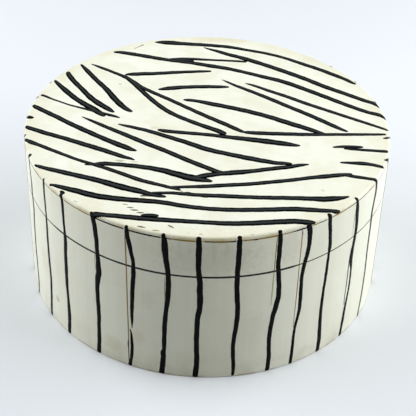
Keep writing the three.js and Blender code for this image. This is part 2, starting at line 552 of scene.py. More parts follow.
@dataclass(frozen=True)
class IvoryPaint:
    """Satin ivory paint on wood, with brush streaks, faint grain, aged edges, a foot that turns darker and
    olive towards the bottom, painted shade along the saw cut and a broad painted shade on the front of the
    lid.

    Its places and reaches are in metres, as Object coordinates are.
    """

    name: str = "ivory_paint"
    ivory: Colour = linear(0.968, 0.975, 0.905)
    deep_ivory: Colour = linear(0.93, 0.93, 0.845)
    # Olive tone that the wall takes towards the foot.
    foot_tone: Colour = linear(0.66, 0.62, 0.48)
    beige: Colour = linear(0.86, 0.83, 0.68)
    bared_wood: Colour = linear(0.62, 0.47, 0.28)
    # Near-black painted shade for the gap between lid and base at the saw cut.
    seam_shade: Colour = linear(0.04, 0.04, 0.038)
    roughness: float = 0.46
    gloss: float = 0.4
    streak_fineness: float = 260.0
    usual_depth: float = 0.35
    foot_tone_top: float = 0.018
    least_foot_tone: float = 0.08
    handled_start: float = 0.079
    handled_end: float = 0.0895
    handled_share: float = 0.3
    handled_evenness: float = 0.85
    seam_shade_left: tuple[float, float] = (-0.075, -0.066)
    seam_shade_right: tuple[float, float] = (0.046, 0.038)
    seam_shade_evenness: float = 0.75
    seam_shade_widening: float = 0.00032
    line_start: float = 0.00034
    line_end: float = 0.00026

    def darken_foot(self, coat: Coat) -> None:
        """Darkens the wall towards the foot with an olive tone.

        Args:
            coat: The coat.
        """
        bench = coat.bench
        low = bench.ramp(bench.axis(coat.place, "Z"), self.foot_tone_top, 0.0)
        uneven = bench.math("ADD", coat.clouds, self.least_foot_tone)
        coat.cover(bench.math("MULTIPLY", low, uneven, clamp=True), self.foot_tone)

    def stain_and_shade(self, coat: Coat) -> None:
        """Lays the stains, and the painted shade on the front of the lid's wall.

        Args:
            coat: The coat.
        """
        for stain_and_shade in STAINS_AND_SHADE:
            inputs = {
                "Vector": coat.place,
                "Centre": stain_and_shade.centre * METRES_PER_MM,
                "Reach": [reach * METRES_PER_MM for reach in stain_and_shade.reach],
                "Amount": stain_and_shade.amount,
            }
            coat.cover(coat.bench.group("stain_and_shade", inputs).outputs["Mask"], stain_and_shade.colour)

    def handle_top(self, coat: Coat) -> None:
        """Yellows the top towards its rim, where hands lift the lid.

        Args:
            coat: The coat.
        """
        bench = coat.bench
        below_top, at_top = (BOX.height - 1.0) * METRES_PER_MM, (BOX.height - 0.4) * METRES_PER_MM
        away = bench.from_axis(coat.place)
        near_rim = bench.ramp(away, self.handled_start, self.handled_end, 0.0, self.handled_share)
        on_top = bench.ramp(bench.axis(coat.place, "Z"), below_top, at_top)
        uneven = bench.math("ADD", self.handled_evenness, coat.clouds, clamp=True)
        coat.cover(bench.math("MULTIPLY", bench.math("MULTIPLY", near_rim, on_top), uneven), self.beige)

    def paint_saw_cut_shade(self, coat: Coat) -> None:
        """Paints shade into the line of the saw cut, where the gap between lid and base falls dark; the line
        is wider on the front.

        Args:
            coat: The coat.
        """
        bench = coat.bench
        across = bench.axis(coat.place, "X")
        on_left, on_right = bench.ramp(across, *self.seam_shade_left), bench.ramp(across, *self.seam_shade_right)
        evenness = bench.math("ADD", self.seam_shade_evenness, coat.clouds, clamp=True)
        widening = bench.math("MULTIPLY", bench.math("MULTIPLY", on_left, on_right), evenness)
        saw_height = BOX.saw_height * METRES_PER_MM
        away = bench.math("ABSOLUTE", bench.math("SUBTRACT", bench.axis(coat.place, "Z"), saw_height))
        away = bench.weighted(away, (widening, -self.seam_shade_widening))
        # Painted shade: a near-black line along the gap between lid and base.
        coat.cover(bench.ramp(away, self.line_start, self.line_end), self.seam_shade)

    def build(self) -> bpy.types.Material:
        """Builds the material.

        Returns:
            The finished material.
        """
        material, bench = new_material(self.name)
        place, along = bench.place(), bench.grain_place()
        mottle = bench.mottle(place, scale=38.0, amount=1.6)
        clouds = bench.mottle(place, scale=55.0, amount=1.4)
        streaks = bench.streaks(along, self.streak_fineness)
        tint = bench.attribute(TINT_ATTRIBUTE)
        depth = bench.weighted(self.usual_depth, (mottle, 1.0), (streaks, 1.0), (tint, 1.0))

        coat = Coat(bench, place, clouds, bench.mix(depth, self.ivory, self.deep_ivory))
        self.darken_foot(coat)
        self.stain_and_shade(coat)
        self.handle_top(coat)
        rim_height = (BOX.height - BOX.facing_edge_radius) * METRES_PER_MM
        coat.wear_edge(rim_height, reach=0.0014, patches=70.0, amount=1.5, colour=self.beige)
        # Painted shade along the saw cut.
        self.paint_saw_cut_shade(coat)
        coat.wear_edge(height=0.0, reach=0.0012, patches=120.0, amount=0.9, colour=self.bared_wood)

        grain = bench.group("wood_grain", {"Vector": along, "Ring Scale": 30.0, "Pore Scale": 900.0})
        fibres, pores = grain.outputs["Fibres"], grain.outputs["Pores"]
        roughness = bench.weighted(self.roughness, (mottle, 0.25), (streaks, 0.2))
        relief = bench.weighted(0.0, (streaks, 0.7), (fibres, 0.35), (pores, -0.5))
        bench.surface(coat.colour, roughness, relief, strength=0.35, depth=0.00012, gloss=self.gloss)
        return material


class Cut(Enum):
    """How a wooden face was cut, which decides what its grain looks like."""

    ALONG = "bare_wood"
    END = "end_grain"


@dataclass(frozen=True)
class BareWood:
    """Bare sanded light-brown wood, with rings, fibres and pores. End grain turns near-black near the
    outside, as painted shade in the gap between lid and base.
    """

    cut: Cut
    early_wood: Colour = linear(0.80, 0.645, 0.45)
    late_wood: Colour = linear(0.66, 0.485, 0.30)
    pore: Colour = linear(0.36, 0.23, 0.13)
    # Colour of the painted shade on end grain near the outside.
    end_grain_shade: Colour = linear(0.05, 0.045, 0.04)
    roughness: float = 0.68
    end_shortening: float = 9.0
    pore_scale: float = 1300.0
    end_grain_shade_start: float = 0.0872
    end_grain_shade_end: float = 0.0886
    end_grain_shade_waver: float = 0.0008

    @property
    def ring_scale(self) -> float:
        """Scale of the growth rings, which lie closer together on end grain."""
        return 42.0 if self.cut is Cut.ALONG else 60.0

    def build(self) -> bpy.types.Material:
        """Builds the material.

        Returns:
            The finished material.
        """
        material, bench = new_material(self.cut.value)
        place, along = bench.place(), bench.grain_place()
        if self.cut is Cut.END:
            along = bench.drawn_out(along, self.end_shortening)
        inputs = {"Vector": along, "Ring Scale": self.ring_scale, "Pore Scale": self.pore_scale}
        grain = bench.group("wood_grain", inputs)
        rings, fibres, pores = (grain.outputs[name] for name in ("Rings", "Fibres", "Pores"))
        mottle = bench.mottle(place, scale=30.0, amount=0.9)
        tint = bench.attribute(TINT_ATTRIBUTE)

        depth = bench.weighted(0.0, (rings, 0.75), (fibres, 1.1), (mottle, 1.0), (tint, 1.0))
        colour = bench.mix(depth, self.early_wood, self.late_wood)
        colour = bench.mix(bench.weighted(0.0, (pores, 0.7)), colour, self.pore)
        # Painted shade: end grain turns near-black towards the outside, where it lines the gap between lid
        # and base.
        if self.cut is Cut.END:
            away = bench.weighted(bench.from_axis(place), (mottle, self.end_grain_shade_waver))
            colour = bench.mix(bench.ramp(away, self.end_grain_shade_start, self.end_grain_shade_end), colour, self.end_grain_shade)

        roughness = bench.weighted(self.roughness, (fibres, 0.3))
        relief = bench.weighted(0.0, (fibres, 1.0), (pores, -1.2), (rings, 0.3))
        bench.surface(colour, roughness, relief, strength=0.5, depth=0.00012)
        return material


@dataclass(frozen=True)
class DryPaint:
    """What a pigment looks like when it is dry. Where an edge colour is given, the main colour holds a
    painted sheen that fades to the edge colour at the stroke's sides.
    """

    label: str
    colour: Colour
    roughness: float
    gloss: float
    edge: Colour | None = None


class Pigment(Enum):
    """What a mark is made of."""

    BLACK = DryPaint("black_paint", linear(0.01, 0.012, 0.013), 0.36, 0.05)
    # Painted sheen: the grey stands in for light reflected on the raised strokes of the top, fading to the
    # paint's own black at their sides; the shader's gloss is off.
    SHEENED_BLACK = DryPaint("black_paint_painted_sheen", linear(0.19, 0.205, 0.205), 0.4, 0.0, linear(0.01, 0.012, 0.012))
    GOLDEN = DryPaint("golden_stain", linear(0.53, 0.425, 0.11), 0.6, 0.3)
    UMBER = DryPaint("umber_stain", linear(0.24, 0.205, 0.13), 0.6, 0.3)
    TAN = DryPaint("tan_stain", linear(0.62, 0.59, 0.43), 0.6, 0.3)
    GREY = DryPaint("grey_stain", linear(0.40, 0.395, 0.31), 0.6, 0.3)


@dataclass(frozen=True)
class BrushedMark:
    """The finish of one pigment, with the drag of the brush along each stroke."""

    pigment: Pigment
    usual_thinness: float = 0.25
    thin_lightening: float = 1.5
    sheen_fade_start: float = 0.15
    sheen_fade_end: float = 0.6

    def build(self) -> bpy.types.Material:
        """Builds the material.

        Returns:
            The finished material.
        """
        dry = self.pigment.value
        material, bench = new_material(dry.label)
        drag = bench.streaks(bench.grain_place(), fineness=1500.0)
        mottle = bench.mottle(bench.place(), scale=160.0, amount=1.0)
        *channels, alpha = dry.colour
        lighter = (*(channel * self.thin_lightening for channel in channels), alpha)
        thin = bench.weighted(self.usual_thinness, (drag, 1.0), (mottle, 1.0))
        colour = bench.mix(thin, dry.colour, lighter)
        # Painted sheen in the middle of a stroke, fading to the edge colour at its sides.
        if dry.edge:
            across = bench.math("ABSOLUTE", bench.attribute(ACROSS_ATTRIBUTE))
            colour = bench.mix(bench.ramp(across, self.sheen_fade_start, self.sheen_fade_end), colour, dry.edge)
        roughness = bench.weighted(dry.roughness, (drag, 0.3), (mottle, 0.3))
        bench.surface(colour, roughness, drag, strength=0.4, depth=0.0001, gloss=dry.gloss)
        return material


BACKDROP = linear(0.955, 0.965, 0.975)


def shown_rays(bench: NodeBench) -> bpy.types.NodeSocket:
    """Tells the rays that show a thing, directly or in a reflection, from the rays that light other things.

    Args:
        bench: The node tree's bench.

    Returns:
        A socket that is 1 for the rays that show a thing.
    """
    rays = bench.add("ShaderNodeLightPath")
    direct = bench.math("MAXIMUM", rays.outputs["Is Camera Ray"], rays.outputs["Is Glossy Ray"])
    return bench.math("MAXIMUM", direct, rays.outputs["Is Transmission Ray"])


@dataclass(frozen=True)
class PaleFloor:
    """A plain pale studio floor. It looks pale to the camera and throws little light back on the wall."""

    seen: Colour = linear(0.90, 0.915, 0.92)
    lighting: Colour = linear(0.62, 0.62, 0.6)
    roughness: float = 0.9
    backdrop_start: float = 0.4
    backdrop_end: float = 0.75

    def build(self) -> bpy.types.Material:
        """Builds the material.

        Returns:
            The finished material.
        """
        material, bench = new_material("pale_floor")
        shown = shown_rays(bench)
        colour = bench.mix(shown, self.lighting, self.seen)
        near = bench.add("ShaderNodeBsdfPrincipled", {"Base Color": colour, "Roughness": self.roughness})
        backdrop = bench.add("ShaderNodeEmission", {"Color": BACKDROP, "Strength": 1.0})
        far = bench.ramp(bench.vector("LENGTH", bench.place()), self.backdrop_start, self.backdrop_end)
        blend = bench.add("ShaderNodeMixShader", {"Fac": bench.math("MULTIPLY", shown, far)})
        bench.feed(blend.inputs[1], near.outputs["BSDF"])
        bench.feed(blend.inputs[2], backdrop.outputs["Emission"])
        bench.add("ShaderNodeOutputMaterial", {"Surface": blend.outputs["Shader"]})
        return material


class Finishes:
    """All materials of the box, built once."""

    def __init__(self) -> None:
        """Builds the node groups, then the materials that place them."""
        build_mottle_group()
        build_streak_group()
        build_grain_group()
        build_wear_group()
        build_stain_and_shade_group()
        self.ivory = IvoryPaint().build()
        self.wood = BareWood(Cut.ALONG).build()
        self.end_grain = BareWood(Cut.END).build()
        self.marks = [BrushedMark(pigment).build() for pigment in Pigment]

    @property
    def of_stave(self) -> list[bpy.types.Material]:
        """The materials of a stave, in the order PAINTED, ALONG_GRAIN, ACROSS_GRAIN."""
        return [self.ivory, self.wood, self.end_grain]


# Meshes


def finish_piece(
    bm: bmesh.types.BMesh,
    name: str,
    body: str,
    materials: Sequence[bpy.types.Material],
    replaced: Sequence[str] = (),
    weighted: bool = True,
) -> None:
    """Turns a mesh in millimetres into a finished piece of the box.

    Args:
        bm: The mesh, which is used up.
        name: The piece's name.
        body: The body that it rides on.
        materials: Its materials, in the order of the faces' indices.
        replaced: CAD nodes that it stands for.
        weighted: Whether its large faces keep their own normals beside small bevels.
    """
    sharp_from = math.radians(50)
    bmesh.ops.scale(bm, vec=(METRES_PER_MM,) * 3, verts=bm.verts)
    bmesh.ops.recalc_face_normals(bm, faces=bm.faces)
    mesh = bpy.data.meshes.new(name)
    bm.to_mesh(mesh)
    bm.free()
    mesh.shade_smooth()
    mesh.set_sharp_from_angle(angle=sharp_from)
    for material in materials:
        mesh.materials.append(material)
    piece = bpy.data.objects.new(name, mesh)
    bpy.context.scene.collection.objects.link(piece)
    if weighted:
        normals = piece.modifiers.new("large_faces", "WEIGHTED_NORMAL")
        normals.keep_sharp = True
    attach(piece, body)
    if replaced:
        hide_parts(*replaced)
    LOG.info("%s rides on %s: %d faces", name, body, len(mesh.polygons))


def map_grain(bm: bmesh.types.BMesh, place: Callable[[bmesh.types.BMLoop], tuple[float, float]]) -> None:
    """Writes the grain map, in metres, with the grain along its first axis.

    Args:
        bm: The mesh, in millimetres.
        place: Gives the distance along and across the grain at a face corner, in millimetres.
    """
    layer = bm.loops.layers.uv.new(GRAIN_MAP)
    for face in bm.faces:
        for loop in face.loops:
            along, across = place(loop)
            loop[layer].uv = (along * METRES_PER_MM, across * METRES_PER_MM)


def tint_board(bm: bmesh.types.BMesh, tint: float) -> None:
    """Gives a whole mesh its own slight tint.

    Args:
        bm: The mesh.
        tint: How much deeper its colour is, about -0.1 to 0.1.
    """
    layer = bm.verts.layers.float.new(TINT_ATTRIBUTE)
    for vert in bm.verts:
        vert[layer] = tint


def round_off(
    bm: bmesh.types.BMesh,
    parts: Sequence[bmesh.types.BMEdge | bmesh.types.BMVert],
    radius: float,
    segments: int,
    affect: str = "EDGES",
) -> None:
    """Rounds edges of a solid, or corners of a flat section.

    Args:
        bm: The mesh.
        parts: The edges or corners to round.
        radius: How far the rounding reaches.
        segments: Facets across it.
        affect: EDGES or VERTICES.
    """
    bmesh.ops.bevel(
        bm, geom=parts, offset=radius, offset_type="OFFSET", segments=segments, profile=0.5,
        affect=affect, clamp_overlap=True, material=-1,
    )


def turn_round(
    bm: bmesh.types.BMesh, geom: Sequence[object], angle: float, steps: int, closed: bool = False
) -> None:
    """Sweeps geometry round the axis of the box.

    Args:
        bm: The mesh.
        geom: Its corners, edges and faces that are swept.
        angle: How far, in radians.
        steps: Facets on the way.
        closed: Whether the end meets the start.
    """
    bmesh.ops.spin(
        bm, geom=geom, cent=(0, 0, 0), axis=(0, 0, 1), dvec=(0, 0, 0), angle=angle, steps=steps,
        use_merge=closed,
    )


def rounded_section(corners: Sequence[tuple[float, float, float]], segments: int) -> bmesh.types.BMesh:
    """Draws the section of a turned piece, beside the axis.

    Args:
        corners: Radius, height and rounding of each corner.
        segments: Facets across each rounding.

    Returns:
        A mesh with one face.
    """
    bm = bmesh.new()
    verts = [bm.verts.new((radius, 0.0, height)) for radius, height, _ in corners]
    bm.faces.new(verts)
    for vert, (_, _, rounding) in zip(verts, corners):
        if rounding:
            round_off(bm, [vert], rounding, segments, "VERTICES")
    return bm


def turned_disc(corners: Sequence[tuple[float, float, float]], steps: int = 192) -> bmesh.types.BMesh:
    """Turns a section on the axis, as on a lathe.

    Args:
        corners: Radius, height and rounding of each corner, from the axis out and back to the axis.
        steps: Facets round the box.

    Returns:
        The closed solid.
    """
    on_axis, same_place = 1e-6, 1e-4
    bm = rounded_section(corners, 5)
    bmesh.ops.delete(bm, geom=bm.faces[:], context="FACES_ONLY")
    axis_edges = [e for e in bm.edges if all(abs(v.co.x) < on_axis for v in e.verts)]
    bmesh.ops.delete(bm, geom=axis_edges, context="EDGES")
    turn_round(bm, bm.verts[:] + bm.edges[:], 2 * math.pi, steps, closed=True)
    bmesh.ops.remove_doubles(bm, verts=bm.verts, dist=same_place)
    bmesh.ops.recalc_face_normals(bm, faces=bm.faces)
    return bm


# Order of a stave's materials
PAINTED, ALONG_GRAIN, ACROSS_GRAIN = range(3)


@dataclass
class Stave:
    """One upright strip of the ring, sawn for the base or for the lid."""

    label: str
    degrees: float
    turn: float
    bottom: float
    top: float
    seat_at_top: bool
    tint: float
    grain_shift: float
    glue_gap: float = 0.06
    arc_step: float = 1.0
    eased: float = 0.12
    skin_depth: float = 0.05
    painted_depth: float = 0.3
    flat_within: float = 0.2
    same_place: float = 0.005

    def on_skin(self, vert: bmesh.types.BMVert, depth: float) -> bool:
        """Tells whether a corner lies within a depth of the outside of the ring."""
        return vert.co.xy.length > BOX.outer_radius - depth

    def section(self) -> bmesh.types.BMesh:
        """Draws the stave's section at the front: round outside, planed flat inside.

        Returns:
            A mesh with the section in the plane of the stave's bottom.
        """
        half = math.radians(self.degrees) / 2 - self.glue_gap / 2 / BOX.outer_radius
        bm = bmesh.new()
        inner = bm.verts.new(around(-half, BOX.inner_flat, self.bottom))
        outer = bm.verts.new(around(-half, BOX.outer_radius, self.bottom))
        edge = bm.edges.new((inner, outer))
        turn_round(bm, [inner, outer, edge], 2 * half, math.ceil(self.degrees / self.arc_step))
        for vert in bm.verts:
            turn = math.atan2(vert.co.x, -vert.co.y)
            if not self.on_skin(vert, BOX.wall / 2):
                vert.co = around(turn, BOX.inner_flat / math.cos(turn), self.bottom)
        return bm

    def cut_seat(self, bm: bmesh.types.BMesh) -> None:
        """Planes the sloping seat of a board off the stave's end.

        Args:
            bm: The stave's mesh.
        """
        slope = BOX.seat_bevel / BOX.board_thickness
        end = self.top if self.seat_at_top else self.bottom
        into_stave = 1.0 if self.seat_at_top else -1.0
        wide_edge = Vector((0, -BOX.inner_flat - BOX.seat_bevel, end))
        facing_in = Vector((0, 1, into_stave * slope))
        cut = bmesh.ops.bisect_plane(
            bm, geom=bm.verts[:] + bm.edges[:] + bm.faces[:], plane_co=wide_edge, plane_no=facing_in,
            clear_outer=True,
        )
        rim = [e for e in cut["geom_cut"] if isinstance(e, bmesh.types.BMEdge)]
        bmesh.ops.holes_fill(bm, edges=rim, sides=0)

    def near_foot(self, edge: bmesh.types.BMEdge) -> bool:
        """Tells whether an edge lies on the rounded foot, which is eased already."""
        height, depth = 0.5, 1.05
        return self.bottom == 0 and all(v.co.z < height and self.on_skin(v, depth) for v in edge.verts)

    def joint_outside(self, edge: bmesh.types.BMEdge) -> bool:
        """Tells whether an edge is an upright joint line of the painted outside.

        Args:
            edge: An edge of the stave.

        Returns:
            Whether it is one.
        """
        start, end = edge.verts
        least_rise = 1.0
        outside = self.on_skin(start, self.skin_depth) and self.on_skin(end, self.skin_depth)
        return outside and abs(start.co.z - end.co.z) > least_rise

    def ease_edges(self, bm: bmesh.types.BMesh) -> None:
        """Eases the foot and the sawn edges, and leaves the joints of the outside sharp.

        Args:
            bm: The stave's mesh.
        """
        floor_height, corner = 0.01, math.radians(30)
        if self.bottom == 0:
            foot = [
                e for e in bm.edges
                if all(self.on_skin(v, self.skin_depth) and v.co.z < floor_height for v in e.verts)
            ]
            round_off(bm, foot, BOX.foot_radius, 3)
        eased = [
            e for e in bm.edges
            if e.calc_face_angle(0.0) > corner and not self.joint_outside(e) and not self.near_foot(e)
        ]
        round_off(bm, eased, self.eased, 2)

    def paint_faces(self, bm: bmesh.types.BMesh) -> None:
        """Sets each face's finish: painted outside, wood along the grain, or end grain.

        Args:
            bm: The stave's mesh, at the front.
        """
        level, nearly_level = 0.9, 0.6
        painted_from = BOX.outer_radius - self.painted_depth
        for face in bm.faces:
            upward = abs(face.normal.z)
            if face.calc_center_median().xy.length > painted_from and upward < level:
                face.material_index = PAINTED
            else:
                face.material_index = ACROSS_GRAIN if upward > nearly_level else ALONG_GRAIN

    def grain_place(self, loop: bmesh.types.BMLoop) -> tuple[float, float]:
        """Gives the place on the stave's grain map, which runs up the stave.

        Args:
            loop: A face corner of the stave at the front.

        Returns:
            Distances along and across the grain, in millimetres.
        """
        spot = loop.vert.co
        facing_sideways = 0.9
        across = BOX.outer_radius * math.atan2(spot.x, -spot.y)
        if loop.face.material_index == ACROSS_GRAIN:
            return (spot.y + self.grain_shift, across + self.grain_shift)
        if abs(loop.face.normal.x) > facing_sideways:
            across = spot.y
        return (spot.z + self.grain_shift, across + self.grain_shift)

    def build(self) -> bmesh.types.BMesh:
        """Builds the stave in its place in the ring.

        Returns:
            The mesh, in millimetres.
        """
        bm = self.section()
        raised = bmesh.ops.extrude_face_region(bm, geom=bm.faces[:], use_keep_orig=True)
        top_verts = [v for v in raised["geom"] if isinstance(v, bmesh.types.BMVert)]
        bmesh.ops.translate(bm, vec=(0, 0, self.top - self.bottom), verts=top_verts)
        bmesh.ops.recalc_face_normals(bm, faces=bm.faces)
        self.cut_seat(bm)
        flat = math.radians(self.flat_within)
        bmesh.ops.dissolve_limit(bm, angle_limit=flat, verts=bm.verts, edges=bm.edges)
        bmesh.ops.recalc_face_normals(bm, faces=bm.faces)
        self.ease_edges(bm)
        bmesh.ops.remove_doubles(bm, verts=bm.verts, dist=self.same_place)
        bmesh.ops.recalc_face_normals(bm, faces=bm.faces)
        bm.normal_update()
        self.paint_faces(bm)
        map_grain(bm, self.grain_place)
        tint_board(bm, self.tint)
        turned = Matrix.Rotation(math.radians(self.turn), 3, "Z")
        bmesh.ops.rotate(bm, cent=(0, 0, 0), matrix=turned, verts=bm.verts)
        return bm


def ring_of_staves(bottom: float, top: float, seat_at_top: bool, seed: int) -> list[Stave]:
    """Lays out the staves of the base or of the lid.

    Args:
        bottom: Height of their lower ends.
        top: Height of their upper ends.
        seat_at_top: Whether the board's seat is at their upper ends.
        seed: Seed of their tints. The same seed gives base and lid the same wood.

    Returns:
        The staves in turn, from the first joint round by the front.
    """
    deepest_tint, nearest_cut, farthest_cut = 0.09, 200, 4000
    chance = random.Random(seed)
    staves = []
    edge = BOX.first_joint
    for index, degrees in enumerate(BOX.stave_widths):
        staves.append(
            Stave(
                label=f"{index + 1:02d}",
                degrees=degrees,
                turn=edge + degrees / 2,
                bottom=bottom,
                top=top,
                seat_at_top=seat_at_top,
                tint=chance.uniform(-deepest_tint, deepest_tint),
                grain_shift=chance.uniform(nearest_cut, farthest_cut),
            )
        )
        edge += degrees
    return staves


@dataclass
class Board:
    """A round board with a bevelled edge, wider at its outer face."""

    outer_face: float
    inner_face: float
    grain_shift: float
    eased: float = 0.25

    def build(self) -> bmesh.types.BMesh:
        """Builds the board.

        Returns:
            The mesh, in millimetres.
        """
        narrow = BOX.inner_flat - BOX.board_clearance
        wide = narrow + BOX.seat_bevel
        bm = turned_disc([
            (0, self.outer_face, 0),
            (wide, self.outer_face, self.eased),
            (narrow, self.inner_face, self.eased),
            (0, self.inner_face, 0),
        ])
        map_grain(bm, lambda loop: (loop.vert.co.x + self.grain_shift, loop.vert.co.y + self.grain_shift))
        tint_board(bm, 0.0)
        return bm


@dataclass
class Facing:
    """The thin disc over the lid board and over the ends of the lid's staves."""

    grain_turn: float = -20.0
    grain_shift: float = 900.0
    lower_eased: float = 0.12
    steps: int = 256

    def build(self) -> bmesh.types.BMesh:
        """Builds the facing.

        Returns:
            The mesh, in millimetres.
        """
        bm = turned_disc([
            (0, BOX.facing_bottom, 0),
            (BOX.outer_radius, BOX.facing_bottom, self.lower_eased),
            (BOX.outer_radius, BOX.height, BOX.facing_edge_radius),
            (0, BOX.height, 0),
        ], self.steps)
        map_grain(bm, self.grain_place)
        tint_board(bm, 0.0)
        return bm

    def grain_place(self, loop: bmesh.types.BMLoop) -> tuple[float, float]:
        """Gives the place on the facing's turned grain map."""
        spot = Matrix.Rotation(math.radians(-self.grain_turn), 2) @ loop.vert.co.xy
        return (spot.x + self.grain_shift, spot.y + loop.vert.co.z + self.grain_shift)


@dataclass
class LipRing:
    """A bent strip inside the base that stands up into the lid, with its ends joined in a scarf."""

    outer_radius: float = 82.7
    thickness: float = 3.0
    bottom: float = 49.5
    top: float = 69.5
    lead_in: float = 1.0
    eased: float = 0.3
    scarf_length: float = 22.0
    scarf_gap: float = 0.12
    scarf_turn: float = 118.0
    steps: int = 180
    tint: float = 0.05

    def build(self) -> bmesh.types.BMesh:
        """Builds the ring.

        Returns:
            The mesh, in millimetres.
        """
        inner_radius = self.outer_radius - self.thickness
        bm = rounded_section([
            (inner_radius, self.bottom, self.eased),
            (self.outer_radius, self.bottom, self.eased),
            (self.outer_radius, self.top - self.lead_in, self.eased),
            (self.outer_radius - self.lead_in, self.top, self.eased),
            (inner_radius, self.top, 2 * self.eased),
        ], 3)
        gap_angle = self.scarf_gap / self.outer_radius
        turn_round(bm, bm.verts[:] + bm.edges[:] + bm.faces[:], 2 * math.pi - gap_angle, self.steps)
        bmesh.ops.recalc_face_normals(bm, faces=bm.faces)
        map_grain(bm, self.grain_place)
        for vert in bm.verts:
            depth = (vert.co.xy.length - inner_radius) / self.thickness - 0.5
            slant = depth * self.scarf_length / self.outer_radius
            vert.co = Matrix.Rotation(slant + math.radians(self.scarf_turn), 3, "Z") @ vert.co
        tint_board(bm, self.tint)
        return bm

    def grain_place(self, loop: bmesh.types.BMLoop) -> tuple[float, float]:
        """Gives the place on the ring's grain map, without a jump inside any face.

        Args:
            loop: A face corner of the ring, before its ends are slanted.

        Returns:
            The distance round the ring and the distance up or through it, in millimetres.
        """
        spot, middle = loop.vert.co, loop.face.calc_center_median()
        face_turn = math.atan2(middle.y, middle.x) % (2 * math.pi)
        turn = math.atan2(spot.y, spot.x) % (2 * math.pi)
        if turn - face_turn > math.pi:
            turn -= 2 * math.pi
        if face_turn - turn > math.pi:
            turn += 2 * math.pi
        return (turn * self.outer_radius, spot.z + spot.xy.length)


# Strokes


class End(Enum):
    """How a stroke ends: with the brush lifted off, or cut square by a saw or an edge."""

    LIFTED = "lifted"
    SQUARE = "square"


@dataclass(frozen=True)
class Stroke:
    """One stroke of a brush, as points along its middle with the width at each.

    On the top a point is its place across and back from the middle, and on the wall its height and turn.
    """

    points: tuple[PathPoint, ...]
    pigment: Pigment = Pigment.BLACK
    start: End = End.LIFTED
    finish: End = End.LIFTED


@dataclass(frozen=True)
class Skin:
    """The outside of the box, by the distance along its section: up the wall, round the rim, over the top."""

    @property
    def rim_start(self) -> float:
        """Distance at which the wall turns into the rounded rim."""
        return BOX.height - BOX.facing_edge_radius

    @property
    def rim_end(self) -> float:
        """Distance at which the rounded rim turns into the flat top."""
        return self.rim_start + BOX.facing_edge_radius * math.pi / 2

    def point(self, turn: float, along: float, lift: float) -> Vector:
        """Finds a point on the skin or lifted off it.

        Args:
            turn: Turn from the front, in radians.
            along: Distance along the section from the floor.
            lift: Distance out from the skin.

        Returns:
            The point.
        """
        edge, foot = BOX.facing_edge_radius, BOX.foot_radius
        if along > self.rim_end:
            inward = along - self.rim_end
            return around(turn, BOX.outer_radius - edge - inward, BOX.height + lift)
        if along > self.rim_start:
            tilt = (along - self.rim_start) / edge
            reach = edge + lift
            radius = BOX.outer_radius - edge + reach * math.cos(tilt)
            return around(turn, radius, self.rim_start + reach * math.sin(tilt))
        if along < foot:
            tilt = min((foot - along) / foot, math.pi / 2)
            reach = foot + lift
            radius = BOX.outer_radius - foot + reach * math.cos(tilt)
            return around(turn, radius, foot - reach * math.sin(tilt))
        return around(turn, BOX.outer_radius + lift, along)

    def from_top(self, across: float, back: float, lift: float) -> Vector:
        """Finds a point by its place on the top.

        Args:
            across: Distance to the viewer's right of the middle.
            back: Distance behind the middle.
            lift: Distance out from the skin.

        Returns:
            The point, which may lie over the rim.
        """
        inward = BOX.outer_radius - BOX.facing_edge_radius - math.hypot(across, back)
        return self.point(math.atan2(across, -back), self.rim_end + inward, lift)

    def from_wall(self, height: float, arc: float, lift: float) -> Vector:
        """Finds a point by its place on the wall.

        Args:
            height: Distance up the wall, and on over the rim.
            arc: Distance round the wall from the front.
            lift: Distance out from the skin.

        Returns:
            The point.
        """
        return self.point(arc / BOX.outer_radius, height, lift)


